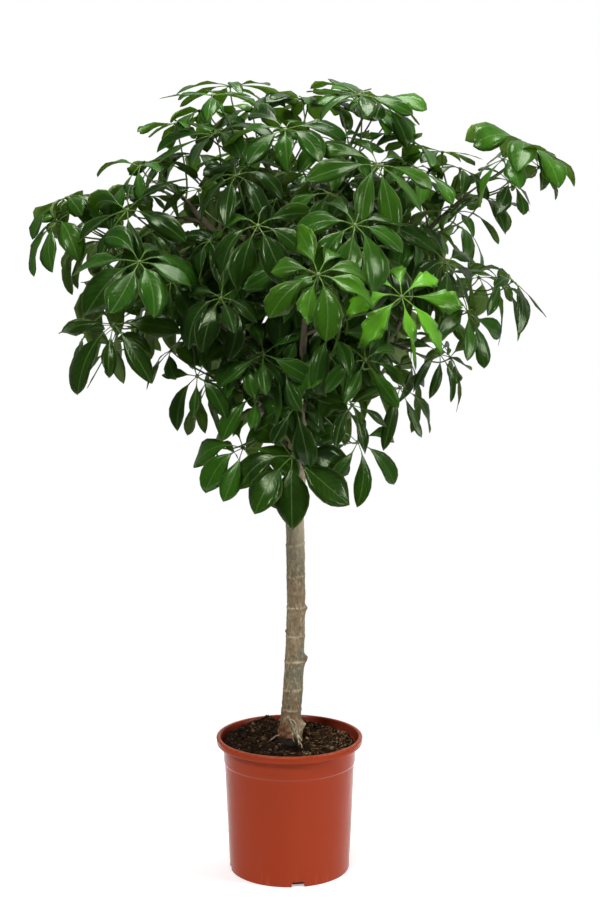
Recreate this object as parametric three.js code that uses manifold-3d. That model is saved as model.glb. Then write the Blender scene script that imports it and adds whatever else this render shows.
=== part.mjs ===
// A potted umbrella plant grown as a small tree: a nursery pot, its soil, one bare woody trunk that
// forks into limbs and twigs, and a wide crown of leafy shoots. A leaf is a ring of leaflets at the
// end of a long stalk. Millimetres, +Z up, the origin in the middle of the pot's underside.
// The front, as photographed, faces -Y.

import * as THREE from 'three';
import { mergeVertices } from 'three/addons/utils/BufferGeometryUtils.js';
import Module from 'manifold-3d';

const wasm = await Module();
wasm.setup();

// Pot
const potHeight = 225;
const rimRadius = 120.3;
const footRadius = 99;
const bodyTopRadius = 107.2;
const shoulderHeight = 182;
const shoulderStep = 1.3;
const neckRadius = bodyTopRadius + shoulderStep + 1;
const lipHeight = 12;
const lipWidth = 6.4;
const wall = 2;
const floorThickness = 3;
const footChamfer = 2;
const cornerFillet = 3;
const potSides = 26;
const notch = { width: 22, height: 9, depth: 15, count: 4, firstAngle: -81.6 };
const drain = { radius: 7, circle: 55, count: 4, sides: 8 };

// Soil
const gap = 0.3;
const soilTop = potHeight - 13;
const soilBump = 3.5;
const soilRings = [0.8, 0.58, 0.34];
const soilEdgeDrop = 4;

// Trunk: [x, y, z, radius], from its foot in the soil to its tip in the crown. It swells at each
// ring that an old leaf left, and its foot has lobes where the roots begin.
const trunkSides = 10;
const trunkLine = [
  [0, 0, 142, 15], [0, 0, 186, 20], [1, 0, 212, 25], [1, 0, 224, 21], [2, 0, 242, 18],
  [3, 0, 261, 16.5], [3, 0, 266, 18], [4, 0, 272, 16.4], [5, 0, 298, 15.8], [6, 0, 303, 17.4],
  [6, 0, 309, 15.8], [10, 2, 388, 15], [10, 2, 393, 16.6], [10, 2, 399, 15], [11, 2, 437, 14.8],
  [11, 2, 442, 16.4], [11, 2, 448, 14.8], [10, 0, 542, 14.8], [10, 0, 546, 16.2], [10, 0, 551, 14.6],
  [9, 0, 590, 14.6], [13, -2, 668, 14.2], [14, -2, 740, 13.6], [14, 0, 800, 13], [13, 2, 863, 12.2],
  [5, 3, 943, 10.6], [2, 2, 1006, 8.8], [0, 0, 1075, 6],
];
const soilHoleTop = 250;
const rootFlare = { low: 150, high: 236, share: 0.2, lobes: 5 };

// Knots where lower branches were cut, and one stub of a cut branch.
const knots = [
  { height: 349, plan: 5, out: 7, radius: 7.5 }, { height: 440, plan: 0, out: 6, radius: 4.5 },
  { height: 402, plan: 188, out: 5, radius: 4.5 }, { height: 700, plan: -100, out: 9, radius: 6 },
];
const knotRoot = 12.5;
const knotRise = 0.25;
const knotShares = [1.5, 1, 0.55];
const cutStub = { from: [16, -4, 800], to: [44, -58, 824], radii: [8.5, 7] };

// Limbs leave the trunk below where they end, and each ends in a twig. Other twigs leave it on the way.
const limbRadii = [7.5, 6.5, 4.6];
const twigRadii = [3.8, 2.9];
const limbRise = 0.62;
const limbSag = 0.09;
const limbStarts = [650, 1040];
const limbEnds = [
  [-185, 25, 985], [-140, -75, 1080], [-105, -100, 915], [-70, -45, 800], [8, -95, 800], [80, -45, 805],
  [165, -40, 895], [180, 15, 1015], [25, -200, 925], [55, -140, 1055], [-20, 10, 1130], [70, 0, 1120],
  [-60, -140, 1030], [-150, 130, 900], [-85, 170, 1035], [60, 185, 985], [155, 125, 925], [45, 110, 800],
  [-65, 105, 790], [130, 80, 1085],
];
const twigSpacing = 0.24;
const roomForStalks = 105;
const nearestTwig = 95;

// Leaves
const stalkRadii = [2.5, 1.7];
const firstStalkExtra = 0.6;
const hub = { radius: 4, rise: 1.2, keel: 0.8, drop: 2.2, under: 4.5 };
const stalkShare = 0.16;
const widest = 0.186;
const stemHalfWidth = 1.4;
const bladeDepth = 1.7;
const arch = 0.3;
const startLift = 8;
const ribSteps = 20;
const largeLeaf = 103;
const clearance = 0.9;

const radians = THREE.MathUtils.degToRad;
const vec = (x, y, z) => new THREE.Vector3(x, y, z);

// One leaf: the place of its hub, where its upper side faces (a plan direction, and a tilt up from
// level), the length of its leaflets, their number, how far the ring is turned and how it sags.
const leaf = (x, y, z, facing, tilt, length, count, turn = 0, sag = 0.6) => (
  { hub: vec(x, y, z), facing, tilt, length, count, turn, sag, large: length >= largeLeaf });

// The shoots that the front shows, each with one to three leaves.
const frontShoots = [
  [leaf(-345, 20, 1095, 190, 74, 62, 6, 10, 0.35), leaf(-362, -40, 1068, 205, 50, 92, 7, -8, 0.95),
    leaf(-330, 55, 1058, 200, 40, 95, 6, 20, 0.9)],
  [leaf(-245, -120, 1088, 235, 38, 104, 7, -14, 0.7), leaf(-229, 40, 1105, 120, 62, 72, 6, 20)],
  [leaf(-228, -60, 1154, 195, 70, 84, 7, 5, 0.3), leaf(-200, -15, 1160, 60, 72, 66, 6, 30, 0.2)],
  [leaf(-222, -190, 1013, 262, 50, 102, 8, -12, 0.6)],
  [leaf(-264, -165, 918, 255, 22, 99, 8, 2, 0.25), leaf(-285, -10, 868, 200, 30, 86, 6, 15, 0.6)],
  [leaf(-204, 40, 916, 150, 40, 82, 6, 0), leaf(-150, -30, 985, 230, 55, 80, 6, 25)],
  [leaf(-141, -120, 834, 245, 30, 70, 7, 10, 0.5), leaf(-185, -60, 868, 200, 45, 72, 6, 0)],
  [leaf(-114, -60, 716, 200, 25, 62, 6, 0, 0.9), leaf(-71, -110, 721, 262, 30, 92, 7, -8, 0.7)],
  [leaf(5, -130, 711, 272, 32, 100, 8, 0, 0.5)],
  [leaf(25, -125, 805, 275, 40, 68, 6, 15, 0.6), leaf(-52, -130, 806, 258, 45, 74, 6, 20, 0.6)],
  [leaf(108, -90, 727, 300, 24, 92, 7, 12, 0.7), leaf(97, -150, 793, 285, 40, 66, 6, 10)],
  [leaf(-100, -200, 960, 258, 45, 72, 7, 30, 0.4), leaf(-119, -60, 922, 230, 50, 70, 6, 0)],
  [leaf(43, -345, 1003, 270, 36, 82, 8, 22, 0.3)],
  [leaf(97, -270, 1070, 285, 42, 88, 8, -20, 0.6)],
  [leaf(132, -200, 1155, 300, 48, 104, 8, 40, 0.7), leaf(197, -60, 1151, 330, 60, 84, 7, 0)],
  [leaf(372, 0, 1190, 350, 66, 112, 7, 15, 0.5), leaf(333, -40, 1164, 200, 55, 82, 6, 20, 0.7)],
  [leaf(304, 20, 1105, 350, 78, 92, 7, 0, 0.15), leaf(262, -36, 1084, 280, 72, 74, 6, 20, 0.25)],
  [leaf(243, -100, 1006, 320, 40, 88, 7, 10, 0.6), leaf(215, 45, 1060, 30, 60, 80, 6, 10)],
  [leaf(164, -290, 968, 290, 42, 88, 8, 36, 0.35)],
  [leaf(278, -80, 930, 335, 30, 92, 7, 0, 0.6), leaf(358, 20, 972, 350, 46, 84, 6, 10, 0.6)],
  [leaf(240, -20, 858, 320, 32, 74, 7, 20, 0.7), leaf(262, 40, 846, 10, 30, 70, 6, 0, 0.6)],
  [leaf(175, -60, 809, 310, 25, 88, 7, 8, 0.8), leaf(115, -180, 865, 285, 38, 76, 7, 20)],
  [leaf(-92, 0, 1278, 100, 80, 86, 7, 15, 0.3), leaf(-128, 60, 1240, 130, 66, 80, 6, 30)],
  [leaf(-114, -80, 1202, 205, 62, 104, 7, -4, 0.55)],
  [leaf(30, 30, 1256, 60, 82, 84, 7, 10, 0.35)],
  [leaf(122, -60, 1246, 330, 66, 88, 8, 20, 0.35)],
  [leaf(-5, -150, 1208, 262, 60, 92, 7, 12, 0.6), leaf(72, -140, 1190, 290, 56, 84, 7, 30, 0.6)],
  [leaf(-78, -170, 1140, 240, 55, 88, 7, 10, 0.7), leaf(-44, -235, 1068, 268, 40, 84, 7, 24, 0.7)],
  [leaf(-38, -160, 872, 258, 40, 74, 6, 10), leaf(62, -170, 905, 285, 40, 74, 6, 30)],
  [leaf(82, -90, 985, 300, 50, 76, 6, 0), leaf(-22, -88, 1000, 250, 50, 74, 6, 15)],
  [leaf(-50, -85, 862, 235, 35, 70, 6, 15), leaf(56, -105, 850, 300, 35, 70, 6, 0)],
];
// Shoots of new growth, lighter than the rest, by their place in the list above.
const youngShoots = [0, 12, 15, 18];

// The shoots of the back and of the middle follow a spiral over the crown's shell.
// Below the crown's middle the shell narrows to the trunk.
const crown = { centre: vec(0, 10, 925), reach: vec(335, 345, 285) };
const narrowing = { from: -0.1, to: -0.55, share: 0.3 };
const goldenTurn = 180 * (3 - Math.sqrt(5));
const backSpiral = { count: 15, low: -0.6, span: 1.52, share: 1, length: 84, leaflets: 6 };
const innerSpiral = { count: 3, low: -0.45, span: 1.2, share: 0.5, length: 74, leaflets: 5 };
const innerFirstPlan = 84;
const seed = 7;

// How a stalk may be bowed clear of what stands there: sideways and upwards, as shares of its reach.
const bows = [
  [0, 0], [0.12, 0], [-0.12, 0], [0, 0.12], [0, -0.12], [0.22, 0.08], [-0.22, 0.08], [0.2, -0.15],
  [-0.2, -0.15], [0, 0.26], [0, -0.26], [0.34, 0], [-0.34, 0], [0.3, 0.3], [-0.3, 0.3], [0.3, -0.3],
  [-0.3, -0.3],
];
// Where a hub may move to when no bow of its stalk is clear.
const moves = [
  [0, 0, 0], [0, 0, 30], [0, 0, -30], [30, 0, 0], [-30, 0, 0], [0, -30, 0], [0, 30, 0],
];
const ways = moves.flatMap((move) => bows.map((bow) => ({ move, bow })));
// How a leaflet may be bent clear: a turn in its ring and a lift, both in degrees, and a share of
// its length.
const bends = [
  [0, 0, 1], [0, 10, 1], [0, -10, 1], [7, 0, 1], [-7, 0, 1], [0, 20, 1], [0, -20, 1], [9, 12, 1],
  [-9, 12, 1], [9, -12, 1], [-9, -12, 1], [0, 32, 1], [0, -32, 1], [0, 0, 0.8], [0, 18, 0.8],
  [0, -18, 0.8], [12, 30, 0.85], [-12, 30, 0.85], [12, -30, 0.85], [-12, -30, 0.85], [0, 45, 0.8],
  [0, -45, 0.8], [0, 0, 0.62], [0, 25, 0.62], [0, -25, 0.62], [0, 50, 0.6], [0, -50, 0.6],
];

// Mulberry32, a small seeded random draw between 0 and 1.
function randomDraw(start) {
  let state = start;
  return () => {
    state = (state + 0x6d2b79f5) | 0;
    let mixed = Math.imul(state ^ (state >>> 15), 1 | state);
    mixed = (mixed + Math.imul(mixed ^ (mixed >>> 7), 61 | mixed)) ^ mixed;
    return ((mixed ^ (mixed >>> 14)) >>> 0) / 4294967296;
  };
}

// A shoot of two leaves side by side around a place on the crown's shell, at a share of its reach.
function spiralShoot(plan, height, { share, length, leaflets }, draw) {
  const narrowed = THREE.MathUtils.smoothstep(height, narrowing.to, narrowing.from);
  const ring = Math.sqrt(1 - height * height) * THREE.MathUtils.lerp(narrowing.share, 1, narrowed);
  const turn = radians(plan);
  const out = vec(Math.cos(turn) * ring, Math.sin(turn) * ring, height);
  const middle = out.clone().multiply(crown.reach).multiplyScalar(share).add(crown.centre);
  const aside = vec(-Math.sin(turn), Math.cos(turn), 0).multiplyScalar(62 + 14 * draw());
  const rise = 34 * (draw() - 0.5);
  const tilt = THREE.MathUtils.clamp(42 + 50 * height + 16 * (draw() - 0.5), 18, 84);
  return [-1, 1].map((side) => {
    const place = middle.clone().addScaledVector(aside, side);
    const facing = plan + side * (20 + 15 * draw());
    const size = Math.round(length * (0.86 + 0.28 * draw()));
    const ringTurn = 50 * draw();
    const sag = 0.5 + 0.3 * draw();
    return leaf(place.x, place.y, place.z + side * rise, facing, tilt, size, leaflets, ringTurn, sag);
  });
}

function spiralShoots() {
  const draw = randomDraw(seed);
  const heightOf = ({ low, span, count }, i) => low + (span * (i + 0.5)) / count;
  const back = Array.from({ length: backSpiral.count }, (_, i) => {
    const plan = 90 + ((((i + 1) * goldenTurn) % 360) - 180) * 0.5;
    return spiralShoot(plan, heightOf(backSpiral, i), backSpiral, draw);
  });
  const inner = Array.from({ length: innerSpiral.count }, (_, i) => (
    spiralShoot(innerFirstPlan + i * goldenTurn, heightOf(innerSpiral, i), innerSpiral, draw)));
  return [...back, ...inner];
}

// A closed body from a list of points and a list of triangles.
function solidFrom(points, triangles) {
  const vertProperties = new Float32Array(points.length * 3);
  points.forEach((point, i) => point.toArray(vertProperties, 3 * i));
  const triVerts = new Uint32Array(triangles.flat());
  return new wasm.Manifold(new wasm.Mesh({ numProp: 3, vertProperties, triVerts }));
}

function solidOf(geometry) {
  const bare = geometry.clone();
  bare.deleteAttribute('normal');
  bare.deleteAttribute('uv');
  const merged = mergeVertices(bare, 1e-4);
  const vertProperties = new Float32Array(merged.attributes.position.array);
  const triVerts = new Uint32Array(merged.index.array);
  return new wasm.Manifold(new wasm.Mesh({ numProp: 3, vertProperties, triVerts }));
}

function geometryOf(solid) {
  const mesh = solid.getMesh();
  const geometry = new THREE.BufferGeometry();
  geometry.setAttribute('position', new THREE.BufferAttribute(new Float32Array(mesh.vertProperties), 3));
  geometry.setIndex(new THREE.BufferAttribute(new Uint32Array(mesh.triVerts), 1));
  geometry.computeVertexNormals();
  return geometry;
}

// Triangles between rings of points that follow each other, all with the same number of points.
function ringTriangles(ringCount, sides) {
  const triangles = [];
  for (let i = 0; i + 1 < ringCount; i += 1) {
    for (let j = 0; j < sides; j += 1) {
      const a = i * sides + j;
      const b = i * sides + ((j + 1) % sides);
      triangles.push([a, b, b + sides], [a, b + sides, a + sides]);
    }
  }
  return triangles;
}

// Directions along a line of points, and a side direction that is carried along it without twist.
// The first and the last direction may be given, to square an end with what it meets.
function framesAlong(points, firstSide, { first, last } = {}) {
  const frames = points.map((point, i) => {
    const before = points[Math.max(i - 1, 0)];
    const after = points[Math.min(i + 1, points.length - 1)];
    return { point, along: after.clone().sub(before).normalize() };
  });
  if (first) frames[0].along = first.clone();
  if (last) frames[frames.length - 1].along = last.clone();
  const side = firstSide.clone();
  frames.forEach((frame) => {
    side.addScaledVector(frame.along, -side.dot(frame.along)).normalize();
    frame.side = side.clone();
    frame.other = frame.along.clone().cross(side);
  });
  return frames;
}

const anySide = (along) => (Math.abs(along.z) > 0.9 ? vec(1, 0, 0) : vec(0, 0, 1)).cross(along).normalize();

// A round or lobed body along a line of points, with flat ends.
function tube(points, radii, sides, { lobe = () => 1, first } = {}) {
  const along = first ?? points[1].clone().sub(points[0]).normalize();
  const frames = framesAlong(points, anySide(along), { first });
  const ringPoints = frames.flatMap((frame, i) => Array.from({ length: sides }, (_, j) => {
    const turn = (2 * Math.PI * j) / sides;
    const radius = radii[i] * lobe(turn, frame.point.z);
    return frame.point.clone().addScaledVector(frame.side, radius * Math.cos(turn))
      .addScaledVector(frame.other, radius * Math.sin(turn));
  }));
  const triangles = ringTriangles(frames.length, sides);
  const last = (frames.length - 1) * sides;
  for (let j = 1; j + 1 < sides; j += 1) {
    triangles.push([0, j + 1, j], [last, last + j, last + j + 1]);
  }
  return solidFrom(ringPoints, triangles);
}

// Pot: a turned shell with a shoulder ledge and a thick lip, notches at the foot and drain holes.
function potSolid() {
  const lipBottom = potHeight - lipHeight;
  const profile = [
    [0, 0], [footRadius - footChamfer, 0], [footRadius, footChamfer],
    [bodyTopRadius, shoulderHeight - 1], [bodyTopRadius + shoulderStep, shoulderHeight + 1],
    [neckRadius, lipBottom - 0.5], [rimRadius - 1.8, lipBottom], [rimRadius, lipBottom + 2.5],
    [rimRadius, potHeight - 2.5], [rimRadius - 1.6, potHeight], [rimRadius - lipWidth, potHeight],
    [neckRadius + 1.2, lipBottom + 4], [neckRadius - wall, lipBottom - 3],
    [footRadius - wall, floorThickness + cornerFillet], [footRadius - wall - cornerFillet, floorThickness],
    [0, floorThickness],
  ];
  const turned = new THREE.LatheGeometry(profile.map(([r, z]) => new THREE.Vector2(r, z)), potSides);
  turned.rotateX(Math.PI / 2);
  let pot = solidOf(turned);
  for (let i = 0; i < notch.count; i += 1) {
    const box = new THREE.BoxGeometry(notch.depth, notch.width, 2 * notch.height);
    box.translate(footRadius + 2 - notch.depth / 2, 0, 0);
    box.rotateZ(radians(notch.firstAngle + (360 * i) / notch.count));
    pot = pot.subtract(solidOf(box));
  }
  for (let i = 0; i < drain.count; i += 1) {
    const hole = new THREE.CylinderGeometry(drain.radius, drain.radius, 4 * floorThickness, drain.sides);
    hole.rotateX(Math.PI / 2);
    hole.translate(drain.circle, 0, 0);
    hole.rotateZ(radians(notch.firstAngle + (360 * (i + 0.5)) / drain.count));
    pot = pot.subtract(solidOf(hole));
  }
  return pot;
}

// The radius inside the pot's wall at a height.
function potInside(height) {
  const low = floorThickness + cornerFillet;
  const high = potHeight - lipHeight - 3;
  return THREE.MathUtils.mapLinear(height, low, high, footRadius - wall, neckRadius - wall);
}

// Soil: it fills the pot, is uneven on top, and has a plain hole for the trunk's foot.
function soilSolid(trunkFoot) {
  const hump = (x, y) => Math.sin(x / 17 + 1) * Math.cos(y / 21) + 0.5 * Math.sin(x / 9 - y / 13);
  const foot = floorThickness + gap;
  const corner = floorThickness + cornerFillet;
  const edgeHeight = soilTop - soilEdgeDrop;
  const edge = potInside(edgeHeight) - gap;
  const ring = (radius, heightAt) => Array.from({ length: potSides }, (_, j) => {
    const turn = (2 * Math.PI * j) / potSides;
    const [x, y] = [radius * Math.sin(turn), -radius * Math.cos(turn)];
    return vec(x, y, heightAt(x, y));
  });
  const rings = [
    ring(potInside(corner) - cornerFillet - gap, () => foot),
    ring(potInside(corner) - gap, () => corner),
    ring(edge, () => edgeHeight),
    ...soilRings.map((share) => ring(edge * share, (x, y) => soilTop + soilBump * hump(x, y))),
  ];
  const points = rings.flat();
  const triangles = ringTriangles(rings.length, potSides);
  const under = points.push(vec(0, 0, foot)) - 1;
  const over = points.push(vec(0, 0, soilTop)) - 1;
  const lastRing = (rings.length - 1) * potSides;
  for (let j = 0; j < potSides; j += 1) {
    const next = (j + 1) % potSides;
    triangles.push([under, next, j], [over, lastRing + j, lastRing + next]);
  }
  return solidFrom(points, triangles).subtract(trunkFoot);
}

// The trunk up to a height, or its foot a little larger for the hole in the soil.
function trunkTube(top, grow) {
  const stations = trunkLine.filter(([, , z]) => z <= top);
  const points = stations.map(([x, y, z], i) => vec(x, y, i === 0 ? z - grow : z));
  const lobe = (turn, z) => {
    const inFlare = z > rootFlare.low && z < rootFlare.high;
    return inFlare ? 1 + rootFlare.share * Math.cos(rootFlare.lobes * turn) : 1;
  };
  return tube(points, stations.map(([, , , radius]) => radius + grow), trunkSides, { lobe });
}

function trunkAt(height) {
  const above = trunkLine.findIndex(([, , z]) => z >= height);
  const [low, high] = [trunkLine[above - 1], trunkLine[above]];
  const share = (height - low[2]) / (high[2] - low[2]);
  return vec(...low.slice(0, 3)).lerp(vec(...high.slice(0, 3)), share);
}

function knotTube({ height, plan, out, radius }) {
  const from = trunkAt(height);
  const outward = vec(Math.cos(radians(plan)), Math.sin(radians(plan)), knotRise);
  const to = from.clone().addScaledVector(outward, knotRoot + out);
  return tube([from, from.clone().lerp(to, 0.7), to], knotShares.map((share) => radius * share), 6);
}

// A limb leaves the trunk lower than it ends, and curves up to its end.
function limbLine(end) {
  const away = Math.hypot(end.x, end.y);
  const start = trunkAt(THREE.MathUtils.clamp(end.z - limbRise * away - 25, ...limbStarts));
  const middle = start.clone().lerp(end, 0.5).add(vec(0, 0, -limbSag * away));
  return [start, middle, end];
}

// The middle of a shoot's leaves.
const middleOf = (shoot) => (
  shoot.reduce((sum, one) => sum.add(one.hub), vec(0, 0, 0)).divideScalar(shoot.length));

// Where a twig ends that starts at a place and leaves room for the leaf stalks of its shoot.
function twigEnd(from, middle) {
  const distance = from.distanceTo(middle);
  return from.clone().lerp(middle, Math.max(distance - roomForStalks, 0.3 * distance) / distance);
}

// Each shoot goes to a limb near it. The shoot that lies straightest ahead of a limb sits on the
// limb's own end, and the others sit on twigs that leave the limb further back.
function twigLines(shoots) {
  const limbs = limbEnds.map((end) => ({ line: limbLine(vec(...end)), members: [] }));
  const away = (limb, middle) => {
    const distance = limb.line[2].distanceTo(middle);
    return distance < nearestTwig ? 5 * nearestTwig - distance : distance;
  };
  shoots.forEach((shoot, i) => {
    const middle = middleOf(shoot);
    const nearest = limbs.reduce((best, limb) => (away(limb, middle) < away(best, middle) ? limb : best));
    nearest.members.push({ i, middle });
  });
  const lines = [];
  limbs.forEach(({ line, members }) => {
    const [, bend, end] = line;
    const ahead = end.clone().sub(bend).normalize();
    const straightness = ({ middle }) => middle.clone().sub(end).normalize().dot(ahead);
    members.sort((one, other) => straightness(other) - straightness(one));
    members.forEach(({ i, middle }, k) => {
      const from = end.clone().lerp(bend, twigSpacing * k);
      lines[i] = k === 0 ? [...line, twigEnd(end, middle)] : [from, twigEnd(from, middle)];
    });
  });
  return lines;
}

function twigTube(line) {
  return line.length > 2 ? tube(line, [...limbRadii, twigRadii[1]], 4) : tube(line, twigRadii, 3);
}

// The frame of a leaf: its axis, the direction that falls most steeply in its ring, and the third.
function leafFrame({ facing, tilt }) {
  const [plan, rise] = [radians(facing), radians(Math.min(tilt, 88))];
  const axis = vec(Math.cos(plan) * Math.cos(rise), Math.sin(plan) * Math.cos(rise), Math.sin(rise));
  const down = vec(0, 0, -1).addScaledVector(axis, axis.z).normalize();
  return { axis, down, across: axis.clone().cross(down) };
}

// The rib of a leaflet: at each share of its length a place, the side and the upper side.
// It starts in the ring, lifted a little, and falls with its weight and with its arch.
function rib(spec, turn, lift, length) {
  const { axis, down, across } = leafFrame(spec);
  const out = down.clone().multiplyScalar(Math.cos(turn)).addScaledVector(across, Math.sin(turn));
  const first = out.clone().multiplyScalar(Math.cos(lift)).addScaledVector(axis, Math.sin(lift));
  const upper = axis.clone().multiplyScalar(Math.cos(lift)).addScaledVector(out, -Math.sin(lift));
  const fall = vec(0, 0, -spec.sag).addScaledVector(upper, -arch);
  const place = spec.hub.clone().addScaledVector(out, hub.radius);
  const step = (length - hub.radius) / ribSteps;
  const stations = [];
  for (let i = 0; i <= ribSteps; i += 1) {
    const along = first.clone().addScaledVector(fall, i / ribSteps).normalize();
    const up = upper.clone().addScaledVector(along, -upper.dot(along)).normalize();
    stations.push({ place: place.clone(), along, up, side: up.clone().cross(along) });
    place.addScaledVector(first.clone().addScaledVector(fall, (i + 0.5) / ribSteps).normalize(), step);
  }
  return (share) => stations[Math.round(share * ribSteps)];
}

// Half the width of a leaflet, as a share of its greatest: a stalk, then a blade widest past the middle.
function halfWidth(share) {
  const along = (share - stalkShare) / (1 - stalkShare);
  return along <= 0 ? 0 : Math.sin(Math.PI * along ** 1.36) ** 0.75;
}

// The cross-sections of a leaflet, each with its two edges and its keel.
function leafletSections(line, length, shares, grow) {
  return shares.map((share) => {
    const { place, side, up } = line(share);
    const half = Math.max(halfWidth(share) * widest * length, stemHalfWidth) + grow;
    const lifted = place.clone().addScaledVector(up, grow);
    return [
      lifted.clone().addScaledVector(side, -half), lifted.clone().addScaledVector(side, half),
      place.clone().addScaledVector(up, -bladeDepth - grow),
    ];
  });
}

// Triangles between sections of three points each, and to the tip.
function leafletTriangles(sections, tip) {
  const triangles = [];
  for (let i = 0; i + 1 < sections.length; i += 1) {
    const [a, b, k] = sections[i];
    const [a2, b2, k2] = sections[i + 1];
    triangles.push([a, a2, b2], [a, b2, b], [a, k, k2], [a, k2, a2], [b, b2, k2], [b, k2, k]);
  }
  const [a, b, k] = sections[sections.length - 1];
  triangles.push([a, tip, b], [a, k, tip], [b, tip, k]);
  return triangles;
}

// A leaflet alone, a little larger than it is, to test that its place is free.
function leafletGuard(line, length, shares) {
  const points = leafletSections(line, length, shares, clearance).flat();
  const { place, along } = line(1);
  const tip = points.push(place.clone().addScaledVector(along, clearance)) - 1;
  const sections = shares.map((_, i) => [3 * i, 3 * i + 1, 3 * i + 2]);
  return solidFrom(points, [...leafletTriangles(sections, tip), [0, 1, 2]]);
}

// Large leaflets have a narrow stalk in their outline, small ones taper straight from the hub.
const bladeShares = ({ large }) => (large ? [0.15, 0.45, 0.8] : [0.45, 0.8]);

// The line of a leaf stalk, from its start to just under the hub.
function stalkLine(start, along, spec, bow) {
  const { axis, across } = leafFrame(spec);
  const end = spec.hub.clone().addScaledVector(axis, -hub.under);
  const reach = start.distanceTo(end);
  const aside = across.clone().multiplyScalar(bow[0] * reach).add(vec(0, 0, bow[1] * reach));
  return new THREE.CubicBezierCurve3(
    start, start.clone().addScaledVector(along, 0.3 * reach).add(aside),
    end.clone().addScaledVector(axis, -0.35 * reach).add(aside), end,
  ).getPoints(3);
}

// Triangles that join the ring of a hub's keels to the three corners of its stalk, going round by angle.
function hubToStalk(keels, turns, corners) {
  const corner = (j) => corners[((j % 3) + 3) % 3];
  const keelAngle = (i) => turns[i % keels.length] + 2 * Math.PI * Math.floor(i / keels.length);
  const cornerAngle = (j) => (2 * Math.PI * j) / 3;
  const triangles = [];
  const firstCorner = Math.floor(turns[0] / cornerAngle(1));
  let [i, j] = [0, firstCorner];
  while (i < keels.length || j < firstCorner + 3) {
    const keel = keels[i % keels.length];
    if (i < keels.length && (j >= firstCorner + 3 || keelAngle(i + 1) <= cornerAngle(j + 1))) {
      triangles.push([keel, corner(j), keels[(i + 1) % keels.length]]);
      i += 1;
    } else {
      triangles.push([keel, corner(j), corner(j + 1)]);
      j += 1;
    }
  }
  return triangles;
}

// A whole leaf as one closed body: its hub, its leaflets, and its three-sided stalk.
function leafSolid(spec, stalk, leaflets) {
  const { axis, down, across } = leafFrame(spec);
  const at = (turn, radius, rise) => spec.hub.clone().addScaledVector(axis, rise)
    .addScaledVector(down, radius * Math.cos(turn)).addScaledVector(across, radius * Math.sin(turn));
  const points = [at(0, 0, hub.rise)];
  const put = (point) => points.push(point) - 1;
  const turns = leaflets.map(({ turn }) => turn);
  const count = turns.length;
  const between = turns.map((turn, i) => {
    const before = i === 0 ? turns[count - 1] - 2 * Math.PI : turns[i - 1];
    return put(at((turn + before) / 2, hub.radius, 0));
  });
  const keels = turns.map((turn) => put(at(turn, hub.radius * hub.keel, -hub.drop)));
  const triangles = leaflets.flatMap(({ line, length }, i) => {
    const next = (i + 1) % count;
    const sections = leafletSections(line, length, bladeShares(spec), 0).map((section) => section.map(put));
    const root = [between[i], between[next], keels[i]];
    return [
      [0, between[i], between[next]], [between[i], keels[(i + count - 1) % count], keels[i]],
      ...leafletTriangles([root, ...sections], put(line(1).place.clone())),
    ];
  });
  const frames = framesAlong([...stalk.line].reverse(), down, { last: stalk.along?.clone().negate() });
  const rings = frames.map(({ point, side, other }, i) => [0, 1, 2].map((j) => {
    const radius = THREE.MathUtils.lerp(stalk.radii[1], stalk.radii[0], i / (frames.length - 1));
    const turn = (2 * Math.PI * j) / 3;
    return put(point.clone().addScaledVector(side, radius * Math.cos(turn))
      .addScaledVector(other, -radius * Math.sin(turn)));
  }));
  triangles.push(...hubToStalk(keels, turns, rings[0]));
  for (let m = 0; m + 1 < rings.length; m += 1) {
    for (let k = 0; k < 3; k += 1) {
      const [a, b] = [rings[m][k], rings[m][(k + 1) % 3]];
      const [c, d] = [rings[m + 1][k], rings[m + 1][(k + 1) % 3]];
      triangles.push([a, c, d], [a, d, b]);
    }
  }
  const [first, second, third] = rings[rings.length - 1];
  triangles.push([first, third, second]);
  return solidFrom(points, triangles);
}

// What stands in the crown already, and a test whether a body keeps clear of it.
const standing = [];
const boxOf = (solid) => {
  const { min, max } = solid.boundingBox();
  return new THREE.Box3(vec(...min), vec(...max));
};
const stand = (solid, owner) => standing.push({ solid, owner, box: boxOf(solid) });
function isClear(body, skips) {
  const box = boxOf(body);
  return standing.every((one) => (
    skips.includes(one.owner) || !one.box.intersectsBox(box) || one.solid.intersect(body).isEmpty()));
}

// The trunk, its knots, its limbs and its twigs, and the flat end of the twig of each shoot.
function growWood(shoots) {
  const stub = tube([vec(...cutStub.from), vec(...cutStub.to)], cutStub.radii, 7);
  const wood = [trunkTube(Infinity, 0), ...knots.map(knotTube), stub];
  wood.forEach((solid) => stand(solid, 'trunk'));
  const ends = twigLines(shoots).map((line, i) => {
    const solid = twigTube(line);
    wood.push(solid);
    stand(solid, `twig ${i}`);
    const [before, end] = line.slice(-2);
    return { end, along: end.clone().sub(before).normalize() };
  });
  return { wood: wood.reduce((sum, one) => sum.add(one)), ends };
}

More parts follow.
